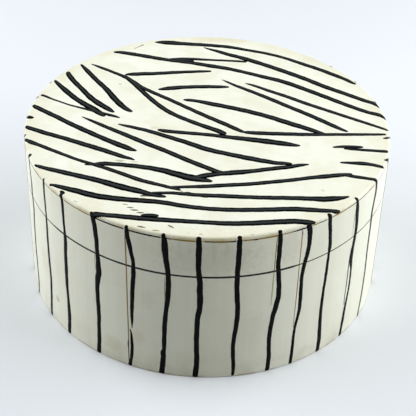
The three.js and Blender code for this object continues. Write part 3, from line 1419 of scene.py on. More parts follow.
@dataclass(frozen=True)
class PaintFilm:
    """Lays strokes on the skin as thin domed films of paint, one closed ribbon for each."""

    crown: float = 0.16
    spread: float = 0.24
    sink: float = 0.06
    step: float = 1.1
    columns: int = 6
    crown_by_width: float = 0.09
    full_half_width: float = 0.5
    dome_power: float = 2.6
    least_width: float = 0.15
    least_half_width: float = 0.03
    tip_steps: tuple[float, ...] = (0.04, 0.14, 0.32, 0.6)
    skin: Skin = Skin()

    def smooth_path(self, points: Sequence[PathPoint]) -> list[PathPoint]:
        """Draws a smooth line through a stroke's points, with short steps at its ends.

        Args:
            points: Place and width at each point.

        Returns:
            Place and width at each step.
        """
        spots = [Vector(p) for p in points]
        before = spots[0] * 2 - spots[1]
        after = spots[-1] * 2 - spots[-2]
        chain = [before, *spots, after]
        fine: list[Vector] = []
        for a, b, c, d in zip(chain, chain[1:], chain[2:], chain[3:]):
            steps = max(2, round((c.xy - b.xy).length / self.step))
            for i in range(steps):
                fine.append(self.between(a, b, c, d, i / steps))
        fine.append(spots[-1])
        start = [fine[0].lerp(fine[1], t) for t in self.tip_steps]
        finish = [fine[-1].lerp(fine[-2], t) for t in reversed(self.tip_steps)]
        return [tuple(p) for p in (fine[0], *start, *fine[1:-1], *finish, fine[-1])]

    def between(self, a: Vector, b: Vector, c: Vector, d: Vector, t: float) -> Vector:
        """Finds a point of a smooth curve between b and c, with a and d beside them.

        Args:
            a: The point before b.
            b: The start.
            c: The end.
            d: The point after c.
            t: Share of the way from b to c.

        Returns:
            The point.
        """
        least = 1e-3
        near, span, far = (max((q.xy - p.xy).length, least) for p, q in ((a, b), (b, c), (c, d)))
        leave = ((c - b) / span * near + (b - a) / near * span) / (near + span) * span
        arrive = ((d - c) / far * span + (c - b) / span * far) / (far + span) * span
        h = t * t * (3 - 2 * t)
        return b.lerp(c, h) + leave * (t * (1 - t) ** 2) - arrive * (t * t * (1 - t))

    def half_widths(
        self, path: Sequence[PathPoint], stroke: Stroke, chance: random.Random
    ) -> list[tuple[float, float]]:
        """Finds the distance from the middle to each side, with the small waver of a hand.

        Args:
            path: Place and width at each step.
            stroke: The stroke, for its ends.
            chance: Seeded source of the waver.

        Returns:
            The distances to both sides at each step.
        """
        slow_waver, slow_reach, quick_waver, quick_reach = 0.035, 1.15, 0.025, 0.47
        runs = [0.0]
        for p, q in zip(path, path[1:]):
            runs.append(runs[-1] + math.dist(p[:2], q[:2]))
        phases = [chance.uniform(0, 2 * math.pi) for _ in range(4)]
        sides = []
        for run, (_, _, width) in zip(runs, path):
            half = (max(width, self.least_width) + self.spread * min(width / 2, 1.0)) / 2
            ending = 1.0
            for end, away in ((stroke.start, run), (stroke.finish, runs[-1] - run)):
                if end is End.LIFTED and away < half:
                    ending *= math.sqrt(max(1 - (1 - away / half) ** 2, 0.0))
            pair = []
            for slow, quick in (phases[:2], phases[2:]):
                waver = slow_waver * math.sin(run / slow_reach + slow)
                waver += quick_waver * math.sin(run / quick_reach + quick)
                pair.append(max(half * (1 + waver) * ending, self.least_half_width))
            sides.append((pair[0], pair[1]))
        return sides

    def flat_ribbon(self, bm: bmesh.types.BMesh, rows: int) -> tuple[Corners, Corners]:
        """Adds a flat closed ribbon, with its row and its place across written at each corner.

        Args:
            bm: The mesh that takes the ribbon.
            rows: Rows of corners along it.

        Returns:
            The corners of its upper side and of its underside.
        """
        row_layer = bm.verts.layers.float[ROW_LAYER]
        across_layer = bm.verts.layers.float[ACROSS_ATTRIBUTE]
        made = bmesh.ops.create_grid(bm, x_segments=rows - 1, y_segments=self.columns, size=0.5)
        upper = made["verts"]
        for vert in upper:
            vert[row_layer] = round((vert.co.x + 0.5) * (rows - 1))
            vert[across_layer] = 2 * vert.co.y
        faces = list(dict.fromkeys(face for vert in upper for face in vert.link_faces))
        sunk = bmesh.ops.extrude_face_region(bm, geom=faces, use_keep_orig=True)
        return upper, [v for v in sunk["geom"] if isinstance(v, bmesh.types.BMVert)]

    def add_ribbon(self, bm: bmesh.types.BMesh, stroke: Stroke, on_wall: bool, chance: random.Random) -> None:
        """Lays one stroke.

        Args:
            bm: The mesh that takes the ribbon.
            stroke: The stroke.
            on_wall: Whether its points are on the wall and not on the top.
            chance: Seeded source of its waver.
        """
        points = stroke.points
        if on_wall:
            points = tuple((h, math.radians(turn) * BOX.outer_radius, w) for h, turn, w in points)
        path = self.smooth_path(points)
        sides = self.half_widths(path, stroke, chance)
        upper, under = self.flat_ribbon(bm, len(path))
        to_skin = self.skin.from_wall if on_wall else self.skin.from_top
        self.drape(bm, upper, path, sides, to_skin)
        self.drape(bm, under, path, sides, to_skin, sunk=True)
        self.colour_ribbon(bm, [*upper, *under], path, stroke.pigment, chance.uniform(0, 5))

    def drape(
        self,
        bm: bmesh.types.BMesh,
        verts: Corners,
        path: Sequence[PathPoint],
        sides: Sequence[tuple[float, float]],
        to_skin: Callable[[float, float, float], Vector],
        sunk: bool = False,
    ) -> None:
        """Moves one side of a flat ribbon to its place on the box.

        Args:
            bm: The mesh that holds the ribbon.
            verts: The corners of the side.
            path: Place and width at each row.
            sides: The distances from the middle to both edges at each row.
            to_skin: Finds a point by its place and its distance from the skin.
            sunk: Whether the side lies in the skin, or else stands off it in a low dome.
        """
        row_layer = bm.verts.layers.float[ROW_LAYER]
        across_layer = bm.verts.layers.float[ACROSS_ATTRIBUTE]
        peak = min(self.crown, self.crown_by_width * max(width for _, _, width in path))
        for vert in verts:
            row, share = int(vert[row_layer]), vert[across_layer]
            here, ahead, behind = path[row], path[min(row + 1, len(path) - 1)], path[max(row - 1, 0)]
            run = Vector((ahead[0] - behind[0], ahead[1] - behind[1])).normalized()
            half = sides[row][0] if share > 0 else sides[row][1]
            place = Vector(here[:2]) + Vector((-run.y, run.x)) * share * half
            fullness = min(1.0, half / self.full_half_width)
            dome = peak * fullness * (1 - abs(share) ** self.dome_power)
            vert.co = to_skin(place.x, place.y, -self.sink if sunk else dome)

    def colour_ribbon(
        self,
        bm: bmesh.types.BMesh,
        verts: Corners,
        path: Sequence[PathPoint],
        pigment: Pigment,
        shift: float,
    ) -> None:
        """Gives a ribbon its pigment and its grain map.

        Args:
            bm: The mesh that holds the ribbon.
            verts: The corners of the ribbon.
            path: Place and width at each row.
            pigment: Its pigment.
            shift: Where on the grain map it starts, in metres.
        """
        row_layer = bm.verts.layers.float[ROW_LAYER]
        across_layer = bm.verts.layers.float[ACROSS_ATTRIBUTE]
        grain = bm.loops.layers.uv[GRAIN_MAP]
        index = list(Pigment).index(pigment)
        for face in dict.fromkeys(face for vert in verts for face in vert.link_faces):
            face.material_index = index
            for loop in face.loops:
                spot = path[int(loop.vert[row_layer])]
                along = (spot[0] + spot[1]) * METRES_PER_MM
                across = loop.vert[across_layer] * spot[2] / 2 * METRES_PER_MM
                loop[grain].uv = (along + shift, across + shift)

    def lay(self, top: Sequence[Stroke], wall: Sequence[Stroke], seed: int) -> bmesh.types.BMesh:
        """Lays a family of strokes as one mesh.

        Args:
            top: Strokes on the top.
            wall: Strokes on the wall.
            seed: Seed of their waver.

        Returns:
            The mesh, in millimetres.
        """
        bm = bmesh.new()
        bm.verts.layers.float.new(ROW_LAYER)
        bm.verts.layers.float.new(ACROSS_ATTRIBUTE)
        bm.loops.layers.uv.new(GRAIN_MAP)
        chance = random.Random(seed)
        for stroke in top:
            self.add_ribbon(bm, stroke, False, chance)
        for stroke in wall:
            self.add_ribbon(bm, stroke, True, chance)
        bm.verts.layers.float.remove(bm.verts.layers.float[ROW_LAYER])
        return bm


# The back half of the top, from the rim forwards
BACK_STROKES = (
    Stroke((
        (-30.5, 81.2, 0.8), (-28.5, 81.3, 2.2), (-25, 81.3, 3.8), (-15, 80.6, 3.4), (0, 79.7, 3.0),
        (10, 78.6, 2.8), (20, 75.9, 2.3), (30, 73, 2.3), (40, 68.7, 2.2), (50, 62.7, 2.6), (60, 56.6, 2.7),
        (67, 51.6, 2.7), (70, 49.5, 2.4), (75, 45, 1.8), (76.8, 43.4, 1.0),
    )),
    Stroke((
        (-52.2, 68.9, 1.6), (-50, 69, 2.2), (-45, 68.2, 3.2), (-40, 67, 3.1), (-35, 65.7, 3.2),
        (-30, 64.3, 3.1), (-25, 63, 3.0), (-20, 62, 3.0), (-10, 60.2, 2.9), (0, 57.7, 3.4), (10, 55.2, 3.0),
        (20, 51.5, 2.7), (30, 47.4, 3.1), (35, 45.5, 3.2), (40, 43, 3.3), (50, 36.7, 3.1), (60, 30, 3.0),
        (70, 23.1, 2.8), (80, 16.9, 2.6), (88, 12.9, 2.3), (88.9, 11.8, 1.8), (89.5, 10.6, 1.4),
    ), finish=End.SQUARE),
    Stroke((
        (-22, 63.3, 1.4), (-18, 63.8, 2.0), (-12, 64.3, 2.2), (-8, 64.2, 2.2), (0, 63.9, 1.8),
        (10, 63.7, 1.7), (17, 63.4, 1.7), (19.9, 63.2, 1.5),
    )),
    Stroke(((-19, 63, 1.5), (-16, 62.9, 2.4), (-12, 62.6, 2.4), (-8.5, 61.9, 1.6))),
    Stroke((
        (-3.7, 77.2, 0.5), (-1, 75.8, 1.4), (3, 74, 2.2), (10, 70.3, 2.9), (15, 68.2, 3.1), (20, 65.7, 3.4),
        (30, 60.2, 3.2), (40, 54.1, 3.3), (50, 47.6, 3.2), (60, 40.3, 3.2), (70, 34, 2.9), (80, 27.6, 2.7),
        (85.5, 24.3, 2.3), (86.6, 22.8, 1.7), (87.2, 21.6, 1.3),
    ), finish=End.SQUARE),
    Stroke((
        (-44.2, 45.6, 1.2), (-42.5, 46, 2.2), (-40, 46.4, 3.0), (-35, 47.1, 3.2), (-30, 47.6, 3.0),
        (-20, 49.3, 2.8), (-10, 50.8, 2.4), (-3, 51.7, 2.0), (1, 52.1, 1.4),
    )),
    Stroke((
        (-26.2, 31.9, 1.2), (-24, 32.5, 2.2), (-20, 33.5, 3.5), (-15, 34.6, 3.2), (-10, 35.4, 3.0),
        (0, 36.3, 2.9), (5, 36.5, 2.6), (8, 36.6, 2.0), (10.4, 36.6, 1.2),
    )),
    Stroke((
        (-13, 22.9, 1.0), (-11.5, 22.7, 1.8), (-5, 21.7, 2.5), (0, 20.1, 3.3), (10, 17.1, 3.3),
        (20, 13.7, 3.4), (30, 9.5, 3.3), (40, 4.2, 3.6), (50, -0.9, 3.2), (57.5, -5.2, 2.4),
    )),
    Stroke((
        (6.5, 43.8, 0.3), (9, 42, 1.2), (12, 39.6, 1.6), (20, 34.2, 2.2), (25, 30.8, 2.4), (30, 27.3, 2.6),
        (40, 19.9, 2.6), (50, 12.7, 2.7), (60, 4.8, 2.7), (65, 0.8, 2.3), (69.2, -2.1, 1.1),
    )),
    Stroke((
        (18.8, 40.9, 0.4), (21, 40, 1.4), (25, 37.9, 1.8), (30, 34.8, 2.1), (40, 29.1, 2.4),
        (50, 22.8, 2.4), (60, 17.1, 2.2), (70, 11.4, 2.1), (80, 5.8, 1.9), (87, 1.8, 1.5), (89.6, 0.2, 1.2),
    )),
)

# The two long strokes from the back left that the others lean on, and the long ones that meet them
CROSSING_STROKES = (
    Stroke((
        (-63, 55.6, 0.5), (-60, 53.7, 1.4), (-50, 47.3, 1.9), (-44, 43.1, 2.2), (-40, 39.3, 2.4),
        (-35, 33.8, 2.2), (-30, 29.8, 2.3), (-20, 22.5, 2.3), (-10, 14.8, 2.4), (0, 7.3, 2.6),
        (10, 0.2, 2.7), (15, -3.6, 2.4), (18, -5.6, 1.8),
    )),
    Stroke((
        (-45.2, 45.3, 1.0), (-43.5, 43.2, 2.0), (-40, 38.6, 2.6), (-37, 34.2, 2.8), (-33.5, 28.5, 2.4),
        (-30, 23.3, 2.5), (-25, 16.6, 2.6), (-20, 11.1, 2.7), (-15, 7, 2.6), (-10, 3.7, 2.7),
        (-5, 0.6, 2.8), (0, -2.2, 3.0), (5, -5, 3.2), (9, -8, 3.0),
    )),
    Stroke((
        (-24.6, -5.6, 1.4), (-22, -6.4, 2.4), (-15, -7.3, 2.6), (-5, -8.2, 2.6), (0, -8.7, 2.6),
        (10, -10.2, 2.9), (20, -11.6, 3.6), (30, -13.1, 4.2), (36, -14.2, 3.8), (40, -14.9, 3.2),
        (43, -15.5, 2.0), (45.2, -15.7, 1.0),
    )),
    Stroke((
        (17.5, -5.4, 1.6), (20, -5.6, 2.4), (30, -5.9, 2.9), (40, -5.8, 2.8), (50, -5.6, 2.5),
        (60, -5, 2.2), (70, -4.4, 2.1), (80, -3.8, 1.8), (86.5, -3.4, 1.5), (88, -3.3, 1.2),
    )),
)

# The left half of the top, from the back to the front
LEFT_STROKES = (
    Stroke((
        (-68.4, 54.8, 1.0), (-65.4, 50, 2.1), (-59.2, 40, 2.5), (-52.5, 30, 2.8), (-46.9, 20, 3.2),
        (-41, 12, 2.6), (-38.1, 9.6, 1.4),
    )),
    Stroke((
        (-74.3, 47, 1.2), (-74, 45, 2.2), (-71.7, 40, 2.6), (-65.4, 30, 2.6), (-58.6, 20, 3.2),
        (-53, 14.2, 3.3), (-50, 11.4, 2.8), (-47.1, 8.6, 1.2),
    )),
    Stroke((
        (-80.2, 37.8, 1.0), (-79.6, 36.6, 1.6), (-77.6, 33.6, 2.1), (-75, 30, 2.8), (-67.1, 20, 3.0),
        (-60, 13.2, 3.6), (-57, 10.4, 3.8), (-54, 7.3, 3.0), (-51.4, 4.7, 1.4),
    )),
    Stroke((
        (-85.6, 22.9, 1.8), (-84.4, 22.5, 1.6), (-80, 19.7, 1.2), (-75, 17, 1.0), (-70, 14.3, 1.1),
        (-65, 12.3, 1.3), (-60, 10.4, 1.6), (-55, 8.5, 1.8), (-50, 6.5, 1.9), (-46, 4.9, 1.6),
        (-43.9, 3.9, 0.9),
    )),
    Stroke((
        (-87.6, 13.6, 1.2), (-87.4, 12.2, 2.4), (-85, 10.2, 2.7), (-80, 6.4, 2.8), (-75, 2.8, 2.8),
        (-70, -1.2, 2.8), (-60, -8.4, 3.1), (-50, -15.2, 3.0), (-45, -18.4, 3.3), (-40, -21.4, 3.5),
        (-36.5, -23.5, 2.6), (-33.6, -24.7, 1.0),
    )),
    Stroke((
        (-89.1, -5.8, 1.0), (-88.6, -7, 2.2), (-85, -8.9, 2.7), (-80, -11.4, 2.9), (-70, -15.6, 2.8),
        (-60, -20.2, 3.1), (-50, -24.8, 3.1), (-45, -27.3, 2.9), (-40, -29.8, 2.5), (-36, -31.4, 1.6),
        (-34.1, -32.4, 0.7),
    )),
    Stroke((
        (-88.4, -17, 0.6), (-87.3, -18.3, 1.8), (-80, -22.8, 2.1), (-70, -28.6, 1.9), (-60, -34.1, 1.8),
        (-50, -38.4, 2.2), (-40, -43.4, 2.3), (-30, -48.6, 2.5), (-20, -52.2, 2.0), (-15, -54, 1.8),
        (-11.5, -55.2, 1.2),
    )),
    Stroke((
        (-62.8, 3.8, 0.5), (-60, 2, 1.2), (-57, 0, 1.7), (-50, -4.7, 2.2), (-40, -11.1, 2.7),
        (-30, -17.7, 2.9), (-20, -23.8, 2.8), (-10, -30.5, 2.9), (0, -36.7, 2.9), (5, -39.6, 2.7),
        (9, -41.2, 2.2),
    )),
    Stroke((
        (-44.3, -1.8, 0.8), (-41, -2.9, 1.7), (-35, -4.9, 2.2), (-30, -6.7, 2.5), (-20, -11.3, 2.8),
        (-10, -16.1, 3.1), (0, -21.4, 3.4), (10, -24.8, 3.1), (20, -27.8, 3.5), (28, -29.9, 3.2),
        (33, -31, 2.8), (38, -31.2, 2.2), (40.6, -31.2, 1.4),
    )),
)

# The front of the top, from the middle to the rim, and the short strokes at its right
FRONT_STROKES = (
    Stroke((
        (-57.4, -37.5, 0.8), (-54.5, -37.3, 1.4), (-52, -36.7, 2.2), (-48, -36.2, 3.0), (-44, -36.3, 2.8),
        (-40, -36.6, 2.9), (-30, -37.9, 3.2), (-25, -38.9, 3.4), (-20, -40.3, 3.8), (-15, -42.3, 4.2),
        (-10, -44.3, 4.7), (-6, -45.6, 4.8), (-2, -46.4, 3.8), (1, -47.2, 2.4), (3, -47.8, 1.2),
    )),
    Stroke((
        (-7, -45.2, 1.6), (-3, -44.3, 3.2), (0, -43.1, 3.5), (5, -41.6, 3.2), (10, -40.6, 3.4),
        (15, -39.7, 3.6), (20, -38.7, 3.0), (30, -36.1, 2.8), (40, -33.6, 2.7), (45, -32, 2.0),
        (48.6, -31.3, 0.8),
    )),
    Stroke((
        (-18, -53.6, 1.2), (-15, -53.3, 1.8), (-10, -52.7, 1.8), (0, -51.7, 2.5), (10, -50.2, 2.6),
        (20, -48.8, 2.5), (30, -46.7, 2.5), (40, -44.5, 2.4), (50, -41.9, 2.5), (55, -40.9, 3.0),
        (60, -39.8, 2.8), (65, -38.8, 2.4), (68.6, -38.2, 1.4),
    )),
    Stroke((
        (64, -38.9, 1.8), (70, -40.2, 2.2), (75, -41.2, 2.0), (79.3, -42, 1.8),
    ), finish=End.SQUARE),
    Stroke((
        (-80.8, -38.7, 0.5), (-79, -39.8, 1.8), (-75, -41.5, 2.4), (-70, -43.1, 2.9), (-60, -46.4, 3.2),
        (-50, -49.7, 3.5), (-40, -53.8, 4.1), (-35, -55.6, 4.0), (-30, -57.2, 3.5), (-25, -59.2, 2.7),
        (-20, -60.4, 2.0), (-17.8, -60.8, 1.0),
    )),
    Stroke((
        (-25, -58.2, 1.4), (-20, -57.9, 1.8), (-15, -57.7, 2.0), (-10, -58.2, 2.2), (0, -58.7, 2.5),
        (10, -58.8, 2.8), (20, -59, 2.6), (30, -58.9, 2.7), (40, -58.6, 2.8), (48, -58.6, 3.1),
        (55, -58.6, 3.8), (60, -57.7, 3.2), (64, -56.7, 1.6), (65.8, -55.9, 0.8),
    )),
    Stroke((
        (-72, -54, 0.9), (-70, -54.5, 1.6), (-65, -56.4, 2.8), (-60, -58.1, 3.4), (-50, -61.7, 3.8),
        (-40, -63.4, 3.6), (-30, -64.2, 3.3), (-20, -65, 3.0), (-10, -67.2, 2.8), (0, -68.6, 2.7),
        (10, -69, 2.8), (20, -68.6, 2.8), (30, -67.8, 3.0), (40, -66.9, 3.1), (50, -67.2, 2.9),
        (56, -67.4, 2.4), (59.5, -67.3, 2.0), (61.6, -66.7, 0.8),
    )),
    Stroke((
        (-51.5, -74.9, 2.4), (-49.5, -75.2, 2.9), (-45, -75.8, 2.9), (-40, -76.2, 2.9), (-30, -77.2, 3.3),
        (-20, -77.9, 3.1), (-10, -78.4, 2.8), (0, -78.8, 2.7), (10, -79.1, 3.0), (20, -78.4, 3.2),
        (30, -77.1, 3.4), (40, -76, 3.4), (45, -76.1, 3.1), (48, -76, 1.8), (49.8, -75.7, 0.8),
    ), start=End.SQUARE),
    Stroke(((-28.5, -75.2, 1.2), (-26, -75, 2.0), (-23, -75, 2.2), (-20.5, -75.3, 1.6))),
    Stroke(((60.8, -16.1, 1.0), (65, -15.4, 1.9), (70, -15.3, 2.2), (73, -15.2, 2.0), (75.7, -15.3, 1.3))),
    Stroke((
        (66, -17, 1.0), (70, -17.4, 1.4), (75, -17.6, 1.9), (80, -17.9, 1.9), (85, -18.2, 2.0),
        (87.6, -18.4, 1.9),
    )),
    Stroke(((-10, -57.1, 0.6), (-8.8, -57.2, 1.3), (-6.8, -57.6, 1.2), (-5.2, -57.9, 0.5))),
    Stroke(((-3, -59.5, 0.5), (-0.5, -60, 0.9), (2.2, -59.9, 0.4))),
    Stroke((
        (63.4, -28.9, 1.0), (67, -28.9, 1.7), (70, -29, 2.2), (75, -29.2, 2.7), (80, -30.3, 2.0),
        (82, -31, 2.0), (84.2, -31.9, 1.4),
    )),
)

# The stripes of the wall that the front shows, from left to right
FRONT_STRIPES = (
    Stroke((
        (86, -69.9, 1.5), (85, -69.8, 2.3), (83.5, -69.6, 1.6), (80, -69.2, 1.4), (75, -68.7, 1.5),
        (70, -68.2, 1.8), (66, -68.4, 2.0), (62, -68.2, 2.0), (55, -67.7, 2.0), (50, -68.2, 2.0),
        (45, -68.5, 2.0), (30, -68.8, 2.0), (20, -68.5, 2.0), (10, -68.2, 2.0), (0.2, -69, 2.0),
    ), finish=End.SQUARE),
    Stroke((
        (85, -56.7, 0.6), (84.4, -56.6, 1.2), (83, -56.55, 1.7), (80, -56.7, 1.7), (75, -56.7, 1.6),
        (70, -56.5, 1.5), (65, -56.35, 1.3), (60, -56.3, 1.6), (50, -56.4, 1.9), (40, -56.3, 1.9),
        (35, -56.15, 1.9), (30, -55.95, 1.8), (25, -55.8, 1.8), (20, -56, 1.9), (15, -56.2, 2.0),
        (10, -56.5, 2.0), (5, -56.85, 2.0), (0.2, -57, 2.0),
    ), finish=End.SQUARE),
    Stroke((
        (85, -47.4, 2.2), (84.4, -47.1, 2.8), (83, -46.6, 2.0), (80, -46.4, 1.9), (75, -46.3, 1.7),
        (70, -46.2, 1.6), (64, -46, 1.7), (60, -45.85, 2.3), (55, -46, 2.3), (50, -46.2, 2.3),
        (45, -46.2, 2.4), (35, -46.3, 2.2), (30, -46.3, 2.0), (25, -46.1, 1.8), (20, -46, 2.0),
        (15, -45.9, 2.4), (10, -45.95, 2.4), (5, -46.2, 2.4), (0.2, -46.4, 2.3),
    ), finish=End.SQUARE),
    Stroke((
        (84.8, -34.3, 2.6), (83.7, -34, 2.6), (80, -33.4, 2.5), (75, -33, 2.5), (70, -32.7, 2.3),
        (65, -32.6, 2.1), (60, -32.4, 2.4), (55, -32.3, 2.9), (51, -32.3, 3.0), (48, -32.65, 2.9),
        (44, -32.95, 2.4), (38, -33, 2.2), (30, -32.85, 2.2), (24, -32.75, 2.1), (18, -32.9, 2.0),
        (12, -32.9, 2.1), (6, -33.05, 2.2), (0.2, -33.3, 2.3),
    ), finish=End.SQUARE),
    Stroke((
        (85.2, -22.6, 1.4), (84, -22.45, 1.7), (80, -22.25, 2.0), (75, -21.6, 2.1), (70, -21.05, 1.8),
        (65, -20.45, 1.7), (60, -20.45, 2.0), (55, -20.55, 2.0), (50, -20.8, 2.0), (45, -20.9, 1.9),
        (40, -21, 1.8), (35, -21.1, 1.6), (30, -21.1, 1.2), (27, -21.1, 0.7), (24.7, -21.1, 0.3),
    )),
    Stroke((
        (24, -21.8, 0.4), (22, -21.5, 0.8), (18, -21.3, 1.3), (12, -21.2, 1.5), (8, -21.3, 1.5),
        (4, -21.6, 1.4), (2, -21.8, 1.6), (0.2, -22, 1.8),
    ), finish=End.SQUARE),
    Stroke((
        (85.3, -11.5, 1.6), (84.2, -11.4, 1.8), (82, -11.2, 2.3), (80, -11.05, 2.8), (75, -10.9, 2.7),
        (72, -10.7, 2.5), (68, -10.4, 2.3), (64, -10.05, 2.2), (60, -9.9, 2.2), (55, -9.85, 2.3),
        (50, -9.95, 2.2), (46, -10.1, 2.1), (42, -10.4, 1.9), (38, -10.6, 2.0), (32, -10.85, 2.1),
        (25, -10.95, 2.0), (18, -11, 1.9), (15.4, -11.05, 1.8), (14.6, -11.25, 2.2), (12, -11.2, 2.3),
        (6, -11.4, 2.4), (0.2, -11.7, 2.5),
    ), finish=End.SQUARE),
    Stroke((
        (85.4, -1.5, 2.2), (80, -1.35, 2.4), (75, -1.35, 2.5), (70, -1.35, 2.2), (65, -1.2, 2.2),
        (60, -0.8, 2.4), (55, -0.77, 2.5), (50, -0.6, 2.6), (45, -0.6, 2.4), (42, -0.8, 2.4),
        (38, -1.15, 2.3), (32, -1.25, 2.2), (25, -1.3, 2.2), (18, -1.2, 2.2), (10, -1.05, 2.3),
        (4, -1.25, 2.4), (0.2, -1.4, 2.4),
    ), finish=End.SQUARE),
    Stroke((
        (85.6, 9.95, 2.0), (80, 10, 2.2), (75, 10, 2.3), (70, 9.95, 2.3), (65, 9.85, 2.2), (60, 9.85, 2.2),
        (55, 9.95, 2.1), (50, 10.15, 2.2), (45, 10.4, 2.1), (40, 10.5, 2.1), (35, 10.4, 2.1),
        (30, 10.15, 2.0), (25, 9.85, 1.9), (20, 9.7, 1.8), (15, 9.8, 1.8), (10, 10, 1.7), (5, 10.15, 1.6),
        (0.6, 10, 1.2),
    )),
    Stroke((
        (85.6, 21.8, 1.9), (80, 22, 2.1), (75, 22, 2.1), (70, 22, 2.1), (65, 21.95, 2.0), (62, 22.2, 2.1),
        (58, 22.45, 2.1), (54, 22.7, 2.2), (50, 22.8, 2.3), (47, 22.85, 2.4), (43, 22.5, 2.5),
        (40, 22.2, 2.6), (36, 21.65, 2.3), (32, 21.35, 2.1), (28, 21.1, 2.1), (22, 20.9, 2.0),
        (16, 21, 1.9), (10, 21.25, 2.0), (5, 21.2, 2.0), (0.2, 21, 2.0),
    ), finish=End.SQUARE),
    Stroke((
        (84.9, 30.7, 2.4), (84, 31, 2.5), (80, 31.6, 2.6), (75, 31.8, 2.3), (68, 31.5, 2.2), (64, 31, 2.1),
        (60, 30.6, 2.0), (55, 30.25, 1.9), (50, 30.3, 1.8), (45, 30.4, 1.9), (40, 30.5, 1.9),
        (35, 30.5, 1.8), (31, 30.25, 1.6), (27, 29.8, 1.5), (22, 29.4, 1.4), (16, 29.25, 1.5),
        (10, 29.25, 1.6), (5, 29.15, 1.7), (0.2, 29, 1.7),
    ), finish=End.SQUARE),
    Stroke((
        (85.8, 38.35, 1.8), (84.8, 38.55, 2.1), (84, 38.65, 2.1), (80, 38.95, 2.1), (75, 39.4, 2.0),
        (70, 39.75, 1.9), (64, 39.95, 1.9), (62, 39.8, 1.4), (57, 39.75, 1.6), (50, 39.65, 1.7),
        (45, 39.5, 1.6), (40, 39.3, 1.6), (34, 39.2, 1.8), (28, 39.15, 1.9), (22, 39.25, 2.0),
        (15, 39.5, 2.2), (8, 39.75, 2.4), (3, 39.65, 2.3), (0.2, 39.5, 2.3),
    ), finish=End.SQUARE),
    Stroke((
        (85.8, 50.1, 1.1), (84.8, 50.4, 1.5), (84, 50.6, 1.6), (80, 51.15, 2.3), (75, 51.5, 2.6),
        (70, 51.85, 2.4), (65, 52, 2.3), (60, 51.75, 2.3), (55, 51.4, 2.4), (50, 51.3, 2.5),
        (46, 51.5, 2.2), (42, 51.95, 1.5), (38, 52.1, 1.4), (30, 52.1, 1.4), (25, 51.8, 1.5),
        (20, 51.4, 1.8), (15, 51.05, 2.0), (10, 50.85, 2.1), (5, 50.5, 2.0), (0.2, 50.2, 2.0),
    ), finish=End.SQUARE),
    Stroke((
        (56, 50.6, 0.4), (50, 50.4, 0.7), (45, 50.35, 0.7), (40, 50.4, 0.7), (35, 50.45, 0.7),
        (30, 50.4, 0.6), (25, 50.3, 0.6), (20, 50.5, 0.4),
    )),
    Stroke((
        (84.9, 61.9, 1.9), (84, 62.3, 2.0), (80, 63.1, 2.2), (75, 63.1, 2.1), (70, 62.45, 2.0),
        (65, 62.15, 2.0), (60, 62.4, 1.8), (50, 62.45, 1.7), (40, 62.65, 1.6), (30, 63.1, 1.6),
        (20, 63.1, 1.6), (12, 62.8, 1.6), (6, 62.25, 1.6), (0.2, 61.65, 1.6),
    ), finish=End.SQUARE),
    Stroke(((86, -48.4, 1.3), (86, -47.7, 1.8), (85.8, -47, 1.8), (85.7, -46.4, 1.3))),
    Stroke((
        (86, 73.2, 1.0), (85.2, 73.4, 1.3), (83.5, 75.2, 1.5), (80, 77.6, 2.2), (75, 79, 2.1),
        (60, 79.8, 2.0), (45, 79.3, 2.2), (30, 79.9, 2.0), (15, 79.5, 2.1), (0.2, 79.8, 2.1),
    ), finish=End.SQUARE),
    Stroke((
        (88.2, 85.5, 0.7), (87, 85.6, 1.5), (85.6, 86, 1.6), (83.5, 86.8, 1.7), (80, 87.6, 2.0),
        (70, 88.2, 2.1), (55, 88, 2.2), (40, 88.4, 2.0), (25, 88.1, 2.2), (10, 88.5, 2.1), (0.2, 88.3, 2.0),
    ), finish=End.SQUARE),
    Stroke((
        (88.2, -91, 1.2), (87.2, -91, 2.2), (86, -91.1, 2.6), (85, -91.4, 2.2), (82, -92.6, 1.9),
        (76, -94, 1.9), (60, -94.6, 2.1), (45, -94.1, 2.0), (30, -94.7, 2.2), (15, -94.4, 2.1),
        (0.2, -94.8, 2.1),
    ), finish=End.SQUARE),
)

# Turns at which the stripes of the sides and the back start at the rim, onwards from the right
BACK_STRIPE_HEADS = (
    98, 107.5, 121, 133.4, 144, 155.5, 166, 178, 189.5, 200, 212.5, 225.4, 235.5, 246.5, 256.5, 278.9,
)

